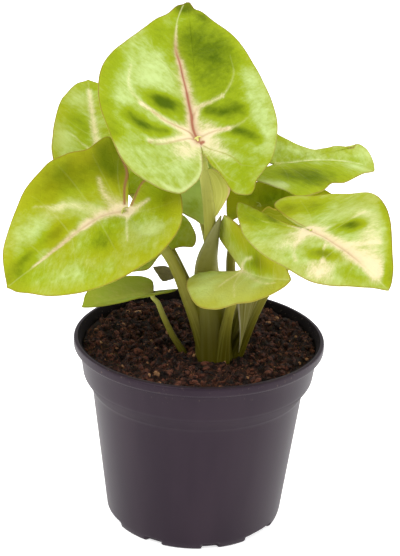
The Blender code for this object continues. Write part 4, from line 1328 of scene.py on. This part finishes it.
# Square soft lights, in metres and watts: place, height aimed at, size and power.
LIGHTS = {
    "key": ((-0.45, -0.55, 0.85), 0.10, 0.6, 5.6),
    "fill": ((0.7, -0.5, 0.45), 0.10, 0.6, 1.8),
    "top": ((0.1, 0.35, 1.0), 0.10, 0.7, 4.0),
    "left_rear": ((-0.8, 0.25, 0.22), 0.05, 0.45, 3.0),
    "right_rear": ((0.8, 0.25, 0.22), 0.05, 0.45, 3.0),
}

# Camera: distance, height angle and roll in degrees, what it looks at, and its lens.
CAMERA_DISTANCE = 500.0
CAMERA_ELEVATION = 21.3
CAMERA_ROLL = 2.0
CAMERA_TARGET = (-0.4, 0.0, 91.7)
CAMERA_LENS = 91.43
SENSOR_WIDTH = 36.0


def make_lights():
    for name, (place, height, size, power) in LIGHTS.items():
        data = bpy.data.lights.new(name, "AREA")
        data.shape = "SQUARE"
        data.size = size
        data.energy = power
        light = bpy.data.objects.new(name, data)
        light.location = place
        light.rotation_mode = "QUATERNION"
        aim = Vector((0, 0, height)) - Vector(place)
        light.rotation_quaternion = aim.to_track_quat("-Z", "Y")
        bpy.context.scene.collection.objects.link(light)


def make_floor():
    corners = [(x * FLOOR_HALF, y * FLOOR_HALF, 0) for x, y in ((-1, -1), (1, -1), (1, 1), (-1, 1))]
    floor = mesh_object("floor", corners, [(0, 1, 2, 3)])
    g = Graph("pale_floor")
    colour = g.mix(g.noise(g.place(), 4.0), *FLOOR_GREYS)
    matt = g.surface(colour, 0.9, 0.1, Emission_Color=WHITE, Emission_Strength=FLOOR_GLOW)
    floor.data.materials.append(g.end(matt))


def make_world():
    """White surroundings: bright where the camera sees them, softer as a light."""
    world = bpy.data.worlds.new("studio")
    bpy.context.scene.world = world
    world.use_nodes = True
    tree = world.node_tree
    back = tree.nodes["Background"].inputs
    back["Color"].default_value = (*WHITE, 1.0)
    level = tree.nodes.new("ShaderNodeMath")
    level.operation = "MULTIPLY_ADD"
    level.inputs[1].default_value = SKY_SEEN - SKY_LIGHT
    level.inputs[2].default_value = SKY_LIGHT
    seen = tree.nodes.new("ShaderNodeLightPath").outputs["Is Camera Ray"]
    tree.links.new(seen, level.inputs[0])
    tree.links.new(level.outputs[0], back["Strength"])


def make_view():
    view = bpy.context.scene.view_settings
    view.view_transform = "Standard"
    view.look = "None"
    view.exposure = 0.0


def make_camera():
    e, r = radians(CAMERA_ELEVATION), radians(CAMERA_ROLL)
    ahead = Vector((0, cos(e), -sin(e)))
    level = Vector((1, 0, 0))
    upright = level.cross(ahead)
    right = level * cos(r) + upright * sin(r)
    up = -level * sin(r) + upright * cos(r)
    data = bpy.data.cameras.new("camera")
    data.lens = CAMERA_LENS
    data.sensor_width = SENSOR_WIDTH
    data.clip_start = 0.01
    data.clip_end = 20.0
    camera = bpy.data.objects.new("camera", data)
    place = (Vector(CAMERA_TARGET) - ahead * CAMERA_DISTANCE) * MM
    turn = Matrix((right, up, -ahead)).transposed().to_4x4()
    camera.matrix_world = Matrix.Translation(place) @ turn
    bpy.context.scene.collection.objects.link(camera)
    bpy.context.scene.camera = camera


make_camera()
make_view()
make_floor()
make_world()
make_lights()
make_pot()
make_soil()
make_crumbs("soil_crumbs", 4200, (0.22, 1.5), "peat_crumbs", 3, 0.25)
make_fibres("soil_fibres", 1900, "peat_fibres", 5)
make_crumbs("soil_bark_bits", 190, (0.3, 1.4), "bark_bits", 9, 0.5)
make_stalks()
make_sheets()
make_leaves()
